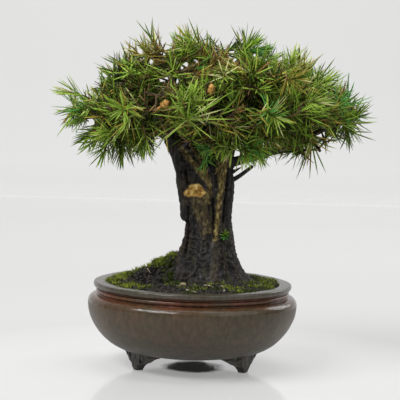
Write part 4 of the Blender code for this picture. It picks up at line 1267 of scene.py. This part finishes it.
def line_mask(points, line, half_width):
    """1 near a line of (x, z) places on the tree's front, fading to 0 past its half width."""
    x, z = points[:, 0] - POT_AXIS.x, points[:, 2] - POT_AXIS.z
    gaps = np.full(len(points), np.inf)
    for (x0, z0), (x1, z1) in zip(line, line[1:]):
        start = np.array((x0, z0)) * MM
        span = np.array((x1 - x0, z1 - z0)) * MM
        share = np.clip(((x - start[0]) * span[0] + (z - start[1]) * span[1]) / (span @ span), 0, 1)
        gap = np.hypot(x - start[0] - share * span[0], z - start[1] - share * span[1])
        gaps = np.minimum(gaps, gap)
    wobble = noise_at(points / (2.2 * MM)) * 0.5 * half_width * MM
    return 1 - smooth_step(gaps + wobble, 0.5 * half_width * MM, 1.1 * half_width * MM)


# Deadwood on the front: lines of (x, z) from the pot's axis, half widths, and how bare it is
DEADWOOD = (
    (((-9, 121), (-2.7, 112.7), (1.2, 108.4), (5.8, 103.6), (7.4, 100.5), (7.4, 96), (6.4, 91.5)), 2, 0.85),
    (((-2.5, 121), (2.8, 112.9), (5.6, 107.5), (7.4, 103)), 1.3, 0.8),
    (((17, 114), (15, 103.3), (14.2, 97.7), (12.9, 87.6), (12.3, 79.8), (11.7, 71)), 1.75, 1),
    (((13.5, 111), (13.2, 105), (14, 100)), 2.2, 0.9),
    (((1.8, 91), (4.6, 83), (6.4, 75)), 4, 0.42),
    (((11.8, 69), (12.2, 60), (11, 52)), 2.6, 0.12),
)
CLEFTS = (
    (((9.7, 93), (10.4, 82), (10.7, 71)), 0.8),
    (((17.4, 110), (16.8, 95), (15.6, 80)), 0.7),
    (((-5.5, 108), (-4.5, 101)), 0.7),
    (((-3.5, 88), (-3, 74), (-4.5, 62)), 0.7),
)
# The cut's scar as ellipses: places from the pot's axis, half widths and half heights
SCAR = ((0.9, 97.0, 4.4, 3.6), (-3.4, 95.6, 2.7, 2.0), (3.4, 95.6, 2.2, 2.2))
FISSURE_REACH = 11.5 * MM
FLAKE_LOW, FLAKE_HIGH = 79.5, 97.0

# Strands along the bark: how wide they are, how many times as long, and where their noise is read
FLUTES = (8.5 * MM, 6.0, 3.1)
PLATES = (2.6 * MM, 9.0, 7.7)
STRIPS = (1.05 * MM, 9.0, 17.3)
WARPS = tuple((5.0 * MM, 4.0, seed) for seed in (11.0, 23.0, 37.0))


def barked(made, limbs, depth=1.0):
    """Gives a woody mesh its furrows and ridges, which run along each limb."""
    mesh = made.data
    points, normals = read(mesh, "co"), read(mesh, "normal")
    along, offset, axis = nearest_axis(points, limbs)
    reach = np.linalg.norm(offset, axis=1)
    offset *= (np.minimum(reach, FISSURE_REACH) / np.maximum(reach, 1e-9))[:, None]
    front = smooth_step(-normals[:, 1], 0.05, 0.45)
    height = (points[:, 2] - POT_AXIS.z) / MM

    def strands(width, stretch, seed):
        return offset / width + axis * (along / (width * stretch))[:, None] + seed

    flute = ridges_at(strands(*FLUTES))
    warp = np.stack([noise_at(strands(*row)) for row in WARPS], axis=1) * 0.5
    warp += (noise_at(points / (1.7 * MM)) * 0.16)[:, None]
    plate, strip = (ridges_at(strands(*row) + warp) for row in (PLATES, STRIPS))
    crumb = noise_at(points / (0.8 * MM))

    dead = np.zeros(len(points))
    for line, half_width, bareness in DEADWOOD:
        dead = np.maximum(dead, line_mask(points, line, half_width) * front * bareness)
    cleft = np.zeros(len(points))
    for line, half_width in CLEFTS:
        cleft = np.maximum(cleft, line_mask(points, line, half_width) * front)
    from_each = [
        np.hypot((points[:, 0] - POT_AXIS.x - scar_x * MM) / (wide * MM), (height - scar_z) / high)
        for scar_x, scar_z, wide, high in SCAR
    ]
    from_scar = np.sum([np.minimum(each, 9.0) ** -6.0 for each in from_each], axis=0) ** (-1 / 6)
    from_scar += noise_at(points / (2.4 * MM)) * 0.30
    scar = (1 - smooth_step(from_scar, 0.82, 1.0)) * front
    callus = np.exp(-(((from_scar - 1.15) / 0.20) ** 2)) * front
    left = smooth_step(-normals[:, 0], 0.35, 0.75)
    flake_edge = FLAKE_LOW + 1.2 * noise_at(points / (3.0 * MM))
    flake = smooth_step(height, FLAKE_HIGH, FLAKE_LOW + 1.0) * (height > flake_edge)

    relief = (flute - 0.6) * 0.8 + (plate - 0.62) * 0.9 + (strip - 0.6) * 0.45 + crumb * 0.06
    relief += left * flake * 0.7 - cleft * 1.8
    smooth_wood = (flute - 0.6) * 0.4 + (strip - 0.6) * 0.35 + 0.25
    lift = relief * (1 - dead) + smooth_wood * dead
    lift = lift * (1 - scar) * (1 - 0.6 * callus) + scar * (1.0 + 0.3 * crumb) + callus * 1.5
    push_out(mesh, lift * depth)
    # Painted shade in the furrows between flutes, plates and strips, in the clefts, and low on the trunk's
    # left side
    painted_furrow_shade = np.clip(0.95 - plate * 1.15, 0, 1) * 0.8 + np.clip(0.45 - flute, 0, 1) * 1.1
    low_left_shade = smooth_step((POT_AXIS.x - points[:, 0]) / MM, -9.0, 2.0) * smooth_step(-height, -92.0, -70.0)
    painted_furrow_shade += np.clip(0.50 - strip, 0, 1) * 0.6 + cleft + 0.30 * low_left_shade
    set_attribute(mesh, "painted_furrow_shade", np.clip(painted_furrow_shade * (1 - 0.55 * dead) * (1 - scar), 0, 1))
    set_attribute(mesh, "deadwood", dead * (1 - scar))
    set_attribute(mesh, "scar", scar)


# Places and radii along the saddle between the leaders, the web under the left one, and the nub
# beside the dead stub
SOFT_JOINTS = (
    (((-9, 0, 112), 7), ((4, 0, 111), 6.8), ((17, 0, 112), 7)),
    (((6, -2, 100), 6.8), ((1, -2, 112), 5.6), ((-6, 0, 124), 4.2)),
)
NUB = (((16.5, -3, 105.4), 1.5), ((20.4, -3.4, 107.2), 1.1), ((24.6, -3.6, 109.6), 0.35))


def way(rows):
    """The points and radii of a limb from rows of (place, radius) in millimetres."""
    places, radii = zip(*rows)
    return [pot_point(*place) for place in places], [radius * MM for radius in radii]


def make_trunk(fine, finish):
    """The trunk and its two leaders, fused with soft joints and then barked."""
    made = trunk_body(finish)
    leaders = [fine[name] for name in LEADERS]
    soft = [Limb(*way(row)) for row in SOFT_JOINTS]
    for limb in (*soft, *leaders):
        builder = Builder()
        builder.tube(limb.points, limb.radii, 24)
        tube = builder.finished("leader", finish)
        union = made.modifiers.new("join", "BOOLEAN")
        union.object = tube
        union.operation = "UNION"
        apply_modifiers(made)
        bpy.data.objects.remove(tube)
    remeshed(made, 0.42 * MM, 14, finish)
    barked(made, [trunk_axis(), *leaders])
    return made


def make_boughs(fine, finish):
    """The thinner boughs, gnarled, with collars where they leave their parent."""
    builder, limbs = Builder(), []
    for name, limb in fine.items():
        if name in LEADERS:
            continue
        points, radii = [], []
        for i, (point, radius) in enumerate(zip(limb.points, limb.radii)):
            share = i / (len(limb.points) - 1)
            sway = Vector([noise.noise(point / (9 * MM) + Vector((seed, 0, 0))) for seed in (1.7, 5.3, 9.1)])
            points.append(point + sway * 0.9 * MM * math.sin(math.pi * share))
            knob = 1 + 0.16 * noise.noise(point / (3.5 * MM))
            radii.append(radius * knob + 1.0 * MM * math.exp(-share * 22))
        builder.tube(points, radii, 14)
        limbs.append(Limb(points, radii))
    made = builder.finished("boughs", finish, smooth=True)
    barked(made, limbs, depth=0.34)
    return made


def make_stub(finish):
    """The snapped dead stub on the trunk's right, with the nub of another beside it."""
    steps, (start, end) = 18, stub_limb().points
    _, _, root_mm, tip_mm = DEAD_STUB
    builder = Builder()
    points, radii = [], []
    for i in range(steps + 1):
        share = i / steps
        place = start.lerp(end, share)
        points.append(place + Vector((0, 0, -0.7 * MM)) * math.sin(math.pi * share))
        radii.append((root_mm + (tip_mm - root_mm) * share + 0.9 * math.exp(-share * 9)) * MM)
    builder.tube(points, radii, 12)
    builder.tube(*way(NUB), 10)
    made = builder.finished("dead_stub_bark", finish, smooth=True)
    barked(made, [Limb(points, radii)], depth=0.3)
    return made


# Pot


# The pot's section as (radius, height): up inside from its floor, over the lip, and down outside
INSIDE = ((0, 13.0), (36.0, 14.0), (49.0, 24.0), (51.0, 34.0), (47.9, 39.0), (47.6, 42.0))
LIP_LEVEL = 45.6
LIP = (
    (47.7, 44.9), (48.2, 45.5), (49.5, 45.6), (53.4, 45.6), (54.4, 45.3), (54.7, 44.5), (54.6, 43.3),
    (54.0, 42.5),
)
NECK = (
    (52.6, 42.3), (52.2, 41.9), (52.4, 41.4), (53.1, 41.2), (53.4, 40.5), (53.2, 39.6), (52.6, 39.2),
    (52.2, 38.8), (52.5, 38.4),
)
SHOULDER = ((53.7, 38.5), (55.0, 38.2), (56.4, 37.5), (57.3, 36.4), (57.7, 35.4))
BELLY_TOP, BELLY_BOTTOM = (57.9, 34.2), (33.0, 7.7)
BELLY_STEPS = 22
BASE = ((32.4, 7.15), (31.0, 7.1), (0, 7.1))


def pot_profile():
    (widest, shoulder), (base_radius, base_height) = BELLY_TOP, BELLY_BOTTOM
    belly = []
    for i in range(BELLY_STEPS + 1):
        turn = math.radians(86) * i / BELLY_STEPS
        radius = base_radius + (widest - base_radius) * math.cos(turn) ** 1.05
        belly.append((radius, shoulder - (shoulder - base_height) * math.sin(turn) ** 1.12))
    rim = [(r, z + LIP_TOP / MM - LIP_LEVEL) for r, z in (*INSIDE, *LIP, *NECK)]
    return [(r * MM, z * MM) for r, z in (*rim, *SHOULDER, *belly, *BASE)]


def make_pot(finish):
    """The pot, turned, with the slow waves of a hand-made one on its outside."""
    made = turned("pot_glazed", rounded(pot_profile()), 200, finish)
    points = read(made.data, "co")
    outside = smooth_step(np.hypot(points[:, 0] - POT_AXIS.x, points[:, 1] - POT_AXIS.y), 30 * MM, 45 * MM)
    waves = noise_at(points * (1, 1, 2.2) / (24 * MM)) * 0.22
    push_out(made.data, (waves + noise_at(points * (1, 1, 3.0) / (7 * MM)) * 0.06) * outside)
    return made


FOOT_RADIUS = 32.8 * MM
FOOT_TURNS = {"foot_front_left": -150, "foot_front_right": -30, "foot_back": 90}
FOOT_SOLE = 2 * MM
FOOT_WING = 13.5 * MM
FOOT_HEIGHT = 13.5 * MM
FOOT_TOP = 11 * MM
FOOT_SPREAD = 3.3 * MM
CURL_PLACE = (7.8 * MM, 7.4 * MM)
CURL_RADIUS = 2 * MM


def make_foot(node, turn_deg, finish):
    """A clay bracket foot with soft edges and a curl cut into each wing."""
    web = SOLE_LEVEL + 1.6 * MM
    half = [(0.0, SOLE_LEVEL), (FOOT_SOLE, SOLE_LEVEL)]
    for i in range(11):
        share = i / 10
        sideways = FOOT_SOLE + 1.0 * MM + (FOOT_WING - FOOT_SOLE - 1.0 * MM) * share
        half.append((sideways, web + 6.0 * MM * share**0.7 + 0.5 * MM * math.sin(share * 9.4)))
    half.append((FOOT_WING, FOOT_TOP))
    outline = [(-s, z) for s, z in reversed(half[1:])] + half[1:]
    turn = math.radians(turn_deg)
    outward = Vector((math.cos(turn), math.sin(turn), 0))
    along = Vector((-math.sin(turn), math.cos(turn), 0))
    points = []
    for near in (False, True):
        for sideways, height in outline:
            share = min((height - SOLE_LEVEL) / FOOT_HEIGHT, 1.0)
            bend = FOOT_RADIUS * (1 - math.cos(sideways / FOOT_RADIUS))
            reach = -1.8 * MM - FOOT_SPREAD * share if near else 2.2 * MM + FOOT_SPREAD * share
            places = outward * (FOOT_RADIUS + reach - bend) + along * sideways
            points.append(POT_AXIS + places + Vector((0, 0, height)))
    count = len(outline)
    faces = [tuple(range(count)), tuple(range(count, 2 * count))[::-1]]
    faces += [(low, high, high_after, after) for low, high, high_after, after in ring_faces(2, count)]
    made = object_from(node + "_glazed", points, faces, finish)
    face_outwards(made.data)
    remeshed(made, 0.4 * MM, 10, finish)
    places = read(made.data, "co")
    sideways = np.abs((places - np.array(POT_AXIS)) @ np.array(along))
    curl = np.hypot(sideways - CURL_PLACE[0], places[:, 2] - CURL_PLACE[1]) / CURL_RADIUS
    groove = np.exp(-(((curl - 1.0) / 0.25) ** 2)) * (sideways > 2.0 * MM)
    lumps = noise_at(places / (2.5 * MM)) * 0.3 + noise_at(places / (1.0 * MM)) * 0.1
    push_out(made.data, lumps - 0.55 * groove)
    moved = read(made.data, "co")
    moved[:, 2] = np.where(places[:, 2] < 0.5 * MM, 0.0, np.maximum(moved[:, 2], 0.0))
    set_points(made.data, moved)
    return made


# Ground


MOSS_EDGE = 45.2 * MM
MOSS_MOUND = 4.5 * MM
MOSS_RIDGE = 16.5 * MM
MOSS_RIDGE_LENGTH = 38 * MM
MOSS_RIDGE_WIDTH = 11 * MM
CUSHION_SPACING = 11 * MM
CUSHION_HEIGHT = 0.8 * MM
GROUND_RADIUS = 47.3 * MM
SKIRT = 3 * MM
TRUNK_ROOM = 1.06
LITTER_COUNT = 26
LITTER_REACH = 42 * MM


def rise(value, low, high):
    """smooth_step for one place, with its levels in millimetres."""
    return float(smooth_step(value, low * MM, high * MM))


def moss_height(x, y):
    """The ground's height over a place that is measured from the pot's axis."""
    from_trunk = math.hypot(x - TRUNK_FOOT_X, y)
    mound = MOSS_MOUND * math.exp(-((from_trunk / (22.0 * MM)) ** 2))
    along = min(max((-8.0 * MM - x) / MOSS_RIDGE_LENGTH, 0.0), 1.0)
    ridge = MOSS_RIDGE * (1 - along) ** 1.2 * math.exp(-((y / MOSS_RIDGE_WIDTH) ** 2))
    beyond = max(x - 2.0 * MM, 0.0) / (9.0 * MM)
    edge = min(max((45.0 * MM - math.hypot(x, y)) / (8.0 * MM), 0.0), 1.0)
    return MOSS_EDGE + edge * max(mound, ridge * math.exp(-(beyond**2))) + cushion_height(x, y)


def cushion_height(x, y):
    """Low cushions of moss that stand about one spacing apart."""
    across, deep = (2 * math.pi * place / CUSHION_SPACING for place in (x, y))
    wave = math.sin(across + 1.1 * math.sin(0.5 * deep)) * math.sin(deep + 1.3 * math.sin(0.4 * across))
    return CUSHION_HEIGHT * (0.4 + 0.6 * wave)


def mossiness(x, y):
    """How mossy the ground is at a place, from 0, bare, to 1."""
    patch = noise.noise(Vector((x, y, 4.0 * MM)) / (11 * MM))
    patch += 0.6 * noise.noise(Vector((x, y, 9.0 * MM)) / (4 * MM))
    left = 0.42 * rise(-x, 24, 38)
    right = 0.22 * rise(x, 18, 36)
    behind = 0.25 * rise(y, 0, 20)
    flank = 0.45 * math.exp(-(((x + 20 * MM) / (15 * MM)) ** 2)) * rise(-y, 4, 10)
    return min(max(0.30 + patch * 1.5 + left + right + behind + 0.3 * on_crest(x, y) - flank, 0.0), 1.0)


def ground_height(x, y):
    lumps = noise.noise(Vector((x, y, 0)) / (3.2 * MM)) * 0.55
    lumps += noise.noise(Vector((x, y, 0)) / (1.3 * MM)) * 0.35
    return moss_height(x, y) + (lumps - 0.8 + 0.4 * mossiness(x, y)) * MM


def make_ground(finish):
    """The bumpy ground, with a skirt down its rim to a flat underside."""
    rings, spokes = 70, 200
    turns = [2 * math.pi * k / spokes for k in range(spokes)]
    radii = [GROUND_RADIUS * i / rings for i in range(1, rings + 1)]
    places = [(radius * math.cos(turn), radius * math.sin(turn)) for radius in radii for turn in turns]
    points = [POT_AXIS + Vector((x, y, ground_height(x, y))) for x, y in places]
    moss = [mossiness(x, y) for x, y in places]
    under, top = len(points), len(points) + spokes
    points += [Vector((edge.x, edge.y, SOIL_LEVEL - SKIRT)) for edge in points[-spokes:]]
    points += [POT_AXIS + Vector((0, 0, SOIL_LEVEL - down)) for down in (0.0, SKIRT)]
    moss += [0.0] * (len(points) - len(moss))
    faces = ring_faces(rings + 1, spokes)
    for k, after in around(spokes):
        faces += [(top, k, after), (top + 1, under + after, under + k)]
    made = object_from("ground", points, faces, finish)
    set_attribute(made.data, "moss", smooth_step(np.array(moss), 0.42, 0.72))
    return made


def icosahedron():
    shape = bmesh.new()
    bmesh.ops.create_icosphere(shape, subdivisions=1, radius=1.0)
    points = np.array([tuple(v.co) for v in shape.verts])
    faces = np.array([[v.index for v in face.verts] for face in shape.faces])
    shape.free()
    return points, faces


def outside_trunk(x, y, margin):
    """Whether a place on the ground, from the pot's axis, lies clear of the trunk's foot."""
    heights, _, wide, deep = zip(*TRUNK_STATIONS)
    level = ground_height(x, y) / MM
    half_width, half_depth = (
        np.interp(level, heights, column) * TRUNK_ROOM * MM + margin for column in (wide, deep)
    )
    return math.hypot((x - TRUNK_FOOT_X) / half_width, y / half_depth) > 1


def patch_near(x, y, middle_x, middle_y, reach):
    """1 at the middle of a round patch whose place and reach are in millimetres, fading outwards."""
    return math.exp(-(math.hypot(x - middle_x * MM, y - middle_y * MM) / (reach * MM)) ** 2)


def on_crest(x, y):
    """How much a place lies on the mound's crest, from 0 to 1."""
    high = float(smooth_step(moss_height(x, y), MOSS_EDGE + 4.0 * MM, MOSS_EDGE + 8.0 * MM))
    return high * rise(y, -6, 0)


def sunny(x, y):
    """How bright the moss is at a place, from 0 to 1. It is on both rims and on the mound's crest."""
    rim = rise(-x, 24, 38) + 0.45 * rise(x, 30, 42)
    patches = ((1.0, -35, -22, 8), (0.6, 27, -30, 13), (0.4, 5, -36, 9))
    front = 0.6 * max(share * patch_near(x, y, *patch) for share, *patch in patches)
    return min(rim + on_crest(x, y) + front + 0.35 * rise(y, 5, 20) + 0.10, 1.0)


def ground_places(count, rng, most=GROUND_RADIUS - 1.0 * MM):
    """Places spread evenly over the ground, clear of the trunk."""
    places = []
    while len(places) < count:
        turn, reach = rng.uniform(0, 2 * math.pi), most * math.sqrt(rng.random())
        x, y = reach * math.cos(turn), reach * math.sin(turn)
        if outside_trunk(x, y, -1.5 * MM):
            places.append((x, y))
    return places


# Grains lie where the ground is less mossy than this. The blur of that edge is nil, and its draw is
# kept so that the grains stay where they are
MOSSIEST = 0.92
MOSS_BLUR = 0.0


def make_granules(tone, count, sizes, finish):
    """Grains of soil, irregular and half sunk."""
    rng = random.Random(tone)
    template, faces = icosahedron()
    builder = Builder()
    for x, y in ground_places(count, rng):
        if mossiness(x, y) > MOSSIEST - MOSS_BLUR * rng.random():
            continue
        size = rng.uniform(*sizes) * MM
        stretch = np.array([rng.uniform(0.7, 1.25) for _ in range(3)]) * size
        jitter = np.array([[rng.uniform(0.82, 1.16)] for _ in template])
        spin = np.array(Matrix.Rotation(rng.uniform(0, 6.3), 3, unit(rng)))
        place = np.array(POT_AXIS) + (x, y, ground_height(x, y) + 0.25 * size)
        builder.add((template * jitter * stretch) @ spin.T + place, np.zeros((0, 4)), faces)
    return builder.finished("grains_" + tone, finish)


# Tufts: where the crest's extra ones stand, from and to, one for so many others, how many leaves
# each tuft has, and how far they spread in millimetres
CREST_ACROSS, CREST_DEEP = (-21, -9), (-4, 3)
CREST_SHARE = 16
TUFT_LEAVES = (10, 16)
TUFT_SPREAD = 0.85


def make_moss(tone, count, finish):
    """Tufts of short upright moss leaves where the ground is mossy."""
    rng = random.Random(tone)
    bright = tone == "bright"
    rows = []
    crest = range(count // CREST_SHARE)
    crest = [(rng.uniform(*CREST_ACROSS) * MM, rng.uniform(*CREST_DEEP) * MM) for _ in crest]
    for x, y in ground_places(count, rng) + crest:
        light = sunny(x, y)
        if mossiness(x, y) + 0.3 * light < rng.uniform(0.30, 0.70) or (bright and rng.random() > light):
            continue
        ground = ground_height(x, y) - 0.3 * MM
        for _ in range(rng.randint(*TUFT_LEAVES)):
            dx, dy = rng.gauss(0, TUFT_SPREAD) * MM, rng.gauss(0, TUFT_SPREAD) * MM
            lean_x, lean_y = (shift / MM * 0.55 + rng.uniform(-0.3, 0.3) for shift in (dx, dy))
            direction = Vector((lean_x, lean_y, 1.0)).normalized()
            upper = direction.orthogonal().normalized()
            length = rng.uniform(1.2, 3.0) * MM * (1.1 if bright else 0.9)
            place = POT_AXIS + Vector((x + dx, y + dy, ground))
            sizes = (length, rng.uniform(0.20, 0.36) * MM, rng.uniform(-0.2, 0.3) * MM)
            rows.append((*place, *direction, *upper, *sizes))
    builder = Builder()
    add_needles(builder, rows, MOSS_LEAF)
    return builder.finished("moss_tufts_" + tone, finish)


# Bits on the soil that the photograph shows: places from the pot's axis, and how thick they are
LITTER = (
    (((-3.6, -36), (-1.4, -40), (1.0, -44)), 0.42),
    (((0.2, -43.5), (1.0, -45.0), (1.6, -44.2)), 0.85),
    (((-6.4, -25.5), (-5.2, -25.0), (-4.2, -25.8)), 1.25),
    (((6.3, -24), (8.6, -26), (11.0, -29)), 0.38),
    (((14.6, -27), (15.8, -27.5), (16.8, -28.6)), 0.60),
    (((-9.0, -26), (-6.5, -27.5)), 0.35),
)


def make_litter(finish):
    """Dry needles and bits of twig that lie on the soil."""
    rng = random.Random("litter")
    builder = Builder()
    for x, y in ground_places(LITTER_COUNT, rng, LITTER_REACH):
        turn = rng.uniform(0, 2 * math.pi)
        reach = rng.uniform(3.0, 7.5) * MM
        direction = Vector((math.cos(turn), math.sin(turn), 0)) * reach
        points = []
        for share in (-0.5, 0.0, 0.5):
            px, py = x + direction.x * share, y + direction.y * share
            points.append(POT_AXIS + Vector((px, py, ground_height(px, py) + (0.75 - abs(share)) * MM)))
        builder.tube(points, [rng.uniform(0.22, 0.42) * MM, 0.34 * MM, 0.14 * MM], 5)
    for ends, thick in LITTER:
        places = [Vector(place) * MM for place in ends]
        points = [POT_AXIS + Vector((x, y, ground_height(x, y))) for x, y in places]
        builder.tube([point + Vector((0, 0, 0.8 * MM)) for point in points], [thick * MM] * len(ends), 7)
    return builder.finished("litter", finish)


# Stage


def stage_material():
    """Glowing white paper, evenly bright from front to back, with a painted shadow under the pot and a
    painted glow round it that lifts the shade the pot casts.
    """
    nodes = Nodes("stage")
    near, far = GLOW[0][0], GLOW[-1][0]
    stops = [((y - near) / (far - near), tone) for y, tone in GLOW]
    glow = nodes.ramp(nodes.share_along("Y", near, far), *stops)
    ends = {0: nodes.place(), 1: Vector((*PAINTED_SHADOW_PLACE, 0))}
    across = nodes.add("ShaderNodeVectorMath", ends, operation="DISTANCE").outputs["Value"]
    # Painted shadow under the pot: the paper and its glow go dark within a ragged ring round one place
    ragged = nodes.math("MULTIPLY_ADD", nodes.noise(75, 2), 8 * MM, across)
    spot = nodes.ramp(nodes.math("DIVIDE", ragged, PAINTED_GLOW_RADIUS), (0.085, 0.05), (0.108, 1))
    # Painted light: a glow round the pot that lifts the shade it casts on the paper
    painted_glow = nodes.ramp(nodes.math("DIVIDE", across, PAINTED_GLOW_RADIUS), (0.3, 0.12), (0.75, 0))
    paper = nodes.mix(1, spot, (0.44, 0.44, 0.435), "MULTIPLY")
    light = nodes.mix(1, spot, nodes.mix(1, glow, painted_glow, "ADD"), "MULTIPLY")
    nodes.shade(Base_Color=paper, Emission_Color=light, Emission_Strength=1)
    nodes.shade(Roughness=0.1, Specular_IOR_Level=0.12)
    return nodes.material


# How brightly the stage glows at distances behind the origin, the painted shadow under the pot, and the
# painted glow round it
GLOW = (
    (-0.1, 0.15), (0.1, 0.125), (0.35, 0.135), (0.5, 0.16), (0.75, 0.19), (0.98, 0.197), (1.04, 0.184),
    (1.1, 0.155), (1.105, 0.207), (1.12, 0.205), (1.15, 0.285), (1.18, 0.35), (1.28, 0.44), (1.45, 0.475),
    (1.55, 0.49),
)
PAINTED_GLOW_RADIUS = 210 * MM
PAINTED_SHADOW_PLACE = (POT_AXIS.x + 1.5 * MM, POT_AXIS.y - 4.0 * MM)

# Soft lights: place, size and power
LIGHT_AIM = Vector((0, 0, 0.12))
LIGHTS = {
    "key": ((-0.62, -0.52, 0.86), (0.85, 0.3), 11.0),
    "fill": ((0.75, -0.55, 0.75), (1.1, 1.1), 4.2),
    "top": ((0.05, 0.15, 1.10), (0.9, 0.9), 7.3),
    "rim": ((0.75, 0.60, 0.55), (0.5, 0.5), 2.5),
}


def make_floor():
    """A pale floor that curves up into a backdrop."""
    half, near, far, bend, high, steps = 3.0, -2.5, 1.6, 0.5, 3.0, 16
    path = [(near, 0.0), (far - bend, 0.0)]
    for i in range(1, steps + 1):
        turn = math.pi / 2 * i / steps
        path.append((far - bend + bend * math.sin(turn), bend - bend * math.cos(turn)))
    path.append((far, high))
    points = [(x, y, z) for y, z in path for x in (-half, half)]
    faces = [(2 * i, 2 * i + 1, 2 * i + 3, 2 * i + 2) for i in range(len(path) - 1)]
    floor = object_from("stage_floor", points, faces, stage_material())


def make_stage():
    """The floor, soft lights, and the photograph's camera."""
    make_floor()
    world = bpy.data.worlds.new("studio")
    bpy.context.scene.world = world
    world.use_nodes = True
    background = world.node_tree.nodes["Background"]
    background.inputs["Color"].default_value = (1.0, 0.99, 0.96, 1.0)
    background.inputs["Strength"].default_value = 0.18
    for name, (place, size, power) in LIGHTS.items():
        data = bpy.data.lights.new(name, "AREA")
        data.shape = "RECTANGLE"
        data.size, data.size_y = size
        data.energy = power
        light = bpy.data.objects.new(name, data)
        bpy.context.scene.collection.objects.link(light)
        light.location = place
        light.rotation_euler = (LIGHT_AIM - Vector(place)).to_track_quat("-Z", "Y").to_euler()

    camera = bpy.data.cameras.new("camera")
    camera.sensor_width = SENSOR_MM
    camera.lens = FOCAL_PIXELS / FRAME_PIXELS * SENSOR_MM
    camera.clip_start = 0.05
    made = bpy.data.objects.new("camera", camera)
    bpy.context.scene.collection.objects.link(made)
    pitch = math.atan2(CAMERA_HEIGHT - AIM_HEIGHT, CAMERA_DISTANCE)
    roll = Matrix.Rotation(math.radians(CAMERA_ROLL_DEG), 4, "Z")
    turn = Matrix.Rotation(math.pi / 2 - pitch, 4, "X") @ roll
    made.matrix_world = Matrix.Translation(CAMERA_PLACE) @ turn
    bpy.context.scene.camera = made
    bpy.context.scene.view_settings.view_transform = "Standard"


# The whole tree


def place(piece, slot, *nodes):
    """Puts a piece on the tree's one body and hides the solids it stands for. Its slot is not used."""
    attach(piece, "root")
    if nodes:
        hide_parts(*nodes)


# Grains: how many, their sizes in millimetres, and their dark and light tones. Moss: how many tufts,
# and their tones
GRAINS = {
    "dark": (3600, (0.45, 1.25), (0.003, 0.003, 0.003), (0.075, 0.068, 0.056)),
    "pale": (30, (0.4, 0.9), (0.22, 0.17, 0.12), (0.52, 0.46, 0.38)),
}
MOSS = {
    "deep": (900, (0.008, 0.014, 0.002), (0.085, 0.12, 0.014)),
    "bright": (800, (0.07, 0.1, 0.008), (0.33, 0.375, 0.045)),
}


def place_wood(fine):
    bark = bark_material()
    place(make_trunk(fine, bark), "bark", "trunk", *("bough_" + name for name in LEADERS))
    place(make_boughs(fine, bark), "bark", *("bough_" + name for name in fine if name not in LEADERS))
    place(make_stub(bark), "bark", "dead_stub")


def place_pot():
    glaze = glaze_material()
    place(make_pot(glaze), "brown_glaze", "pot")
    for node, turn_deg in FOOT_TURNS.items():
        place(make_foot(node, turn_deg, glaze), "brown_glaze", node)


def place_ground():
    place(make_ground(ground_material()), "soil", "soil", "moss")
    for tone, (count, sizes, *tones) in GRAINS.items():
        place(make_granules(tone, count, sizes, stone_material(tone + "_grains", *tones)), "soil")
    for tone, (count, *tones) in MOSS.items():
        place(make_moss(tone, count, stone_material("moss_" + tone, *tones)), "moss")
    place(make_litter(twig_material("dry_litter", (0.2, 0.145, 0.085), (0.6, 0.5, 0.34))), "soil")


def place_crown(coarse):
    """Twigs and shoots grow mass by mass, and then the needles, which keep clear of all wood."""
    woody = [*coarse.values(), stub_limb()]
    limbs, wood = Obstacles(woody), Obstacles([*woody, trunk_axis(11 * MM)])
    twigs, axes = Builder(), Builder()
    builders = {name: Builder() for name in NEEDLE_COLOURS}
    rng = random.Random("needles")
    masses = [Mass(name, limb, limbs, twigs) for name, limb in coarse.items()]
    for colour, where, heading, needles, first, last in FEATURES:
        spot = pot_point(*where)
        mass = min(masses, key=lambda mass: (mass.cell.middle - spot).length)
        mass.feature(colour, spot, heading, needles * MM, (first, last))
    for mass in masses:
        for shoot in mass.shoots:
            leaf_out(shoot, mass.cell, wood, builders, axes, rng)
    add_long_needles(builders)
    for points in BARE_TWIGS:
        radii = [(0.62 - 0.09 * i) * MM for i in range(len(points))]
        axes.tube([pot_point(*point) for point in points], radii)
    pale_wood = twig_material("pale_wood", (0.33, 0.13, 0.022), (0.9, 0.52, 0.16))
    place(make_stumps(coarse.values(), pale_wood), "bark")
    twig_bark = twig_material("twig_bark", (0.028, 0.018, 0.012), (0.12, 0.07, 0.036))
    place(twigs.finished("twigs", twig_bark, True), "bark", *("foliage_" + name for name in coarse))
    young_wood = twig_material("young_wood", (0.09, 0.062, 0.02), (0.3, 0.18, 0.06))
    place(axes.finished("shoot_axes", young_wood, True), "needles")
    for name, colour in NEEDLE_COLOURS.items():
        finish = needle_material("needles_" + name, colour)
        place(builders[name].finished("needles_" + name, finish), "needles")


def main():
    coarse, fine = all_limbs()
    place_wood(fine)
    place_pot()
    place_ground()
    place_crown(coarse)
    make_stage()


main()
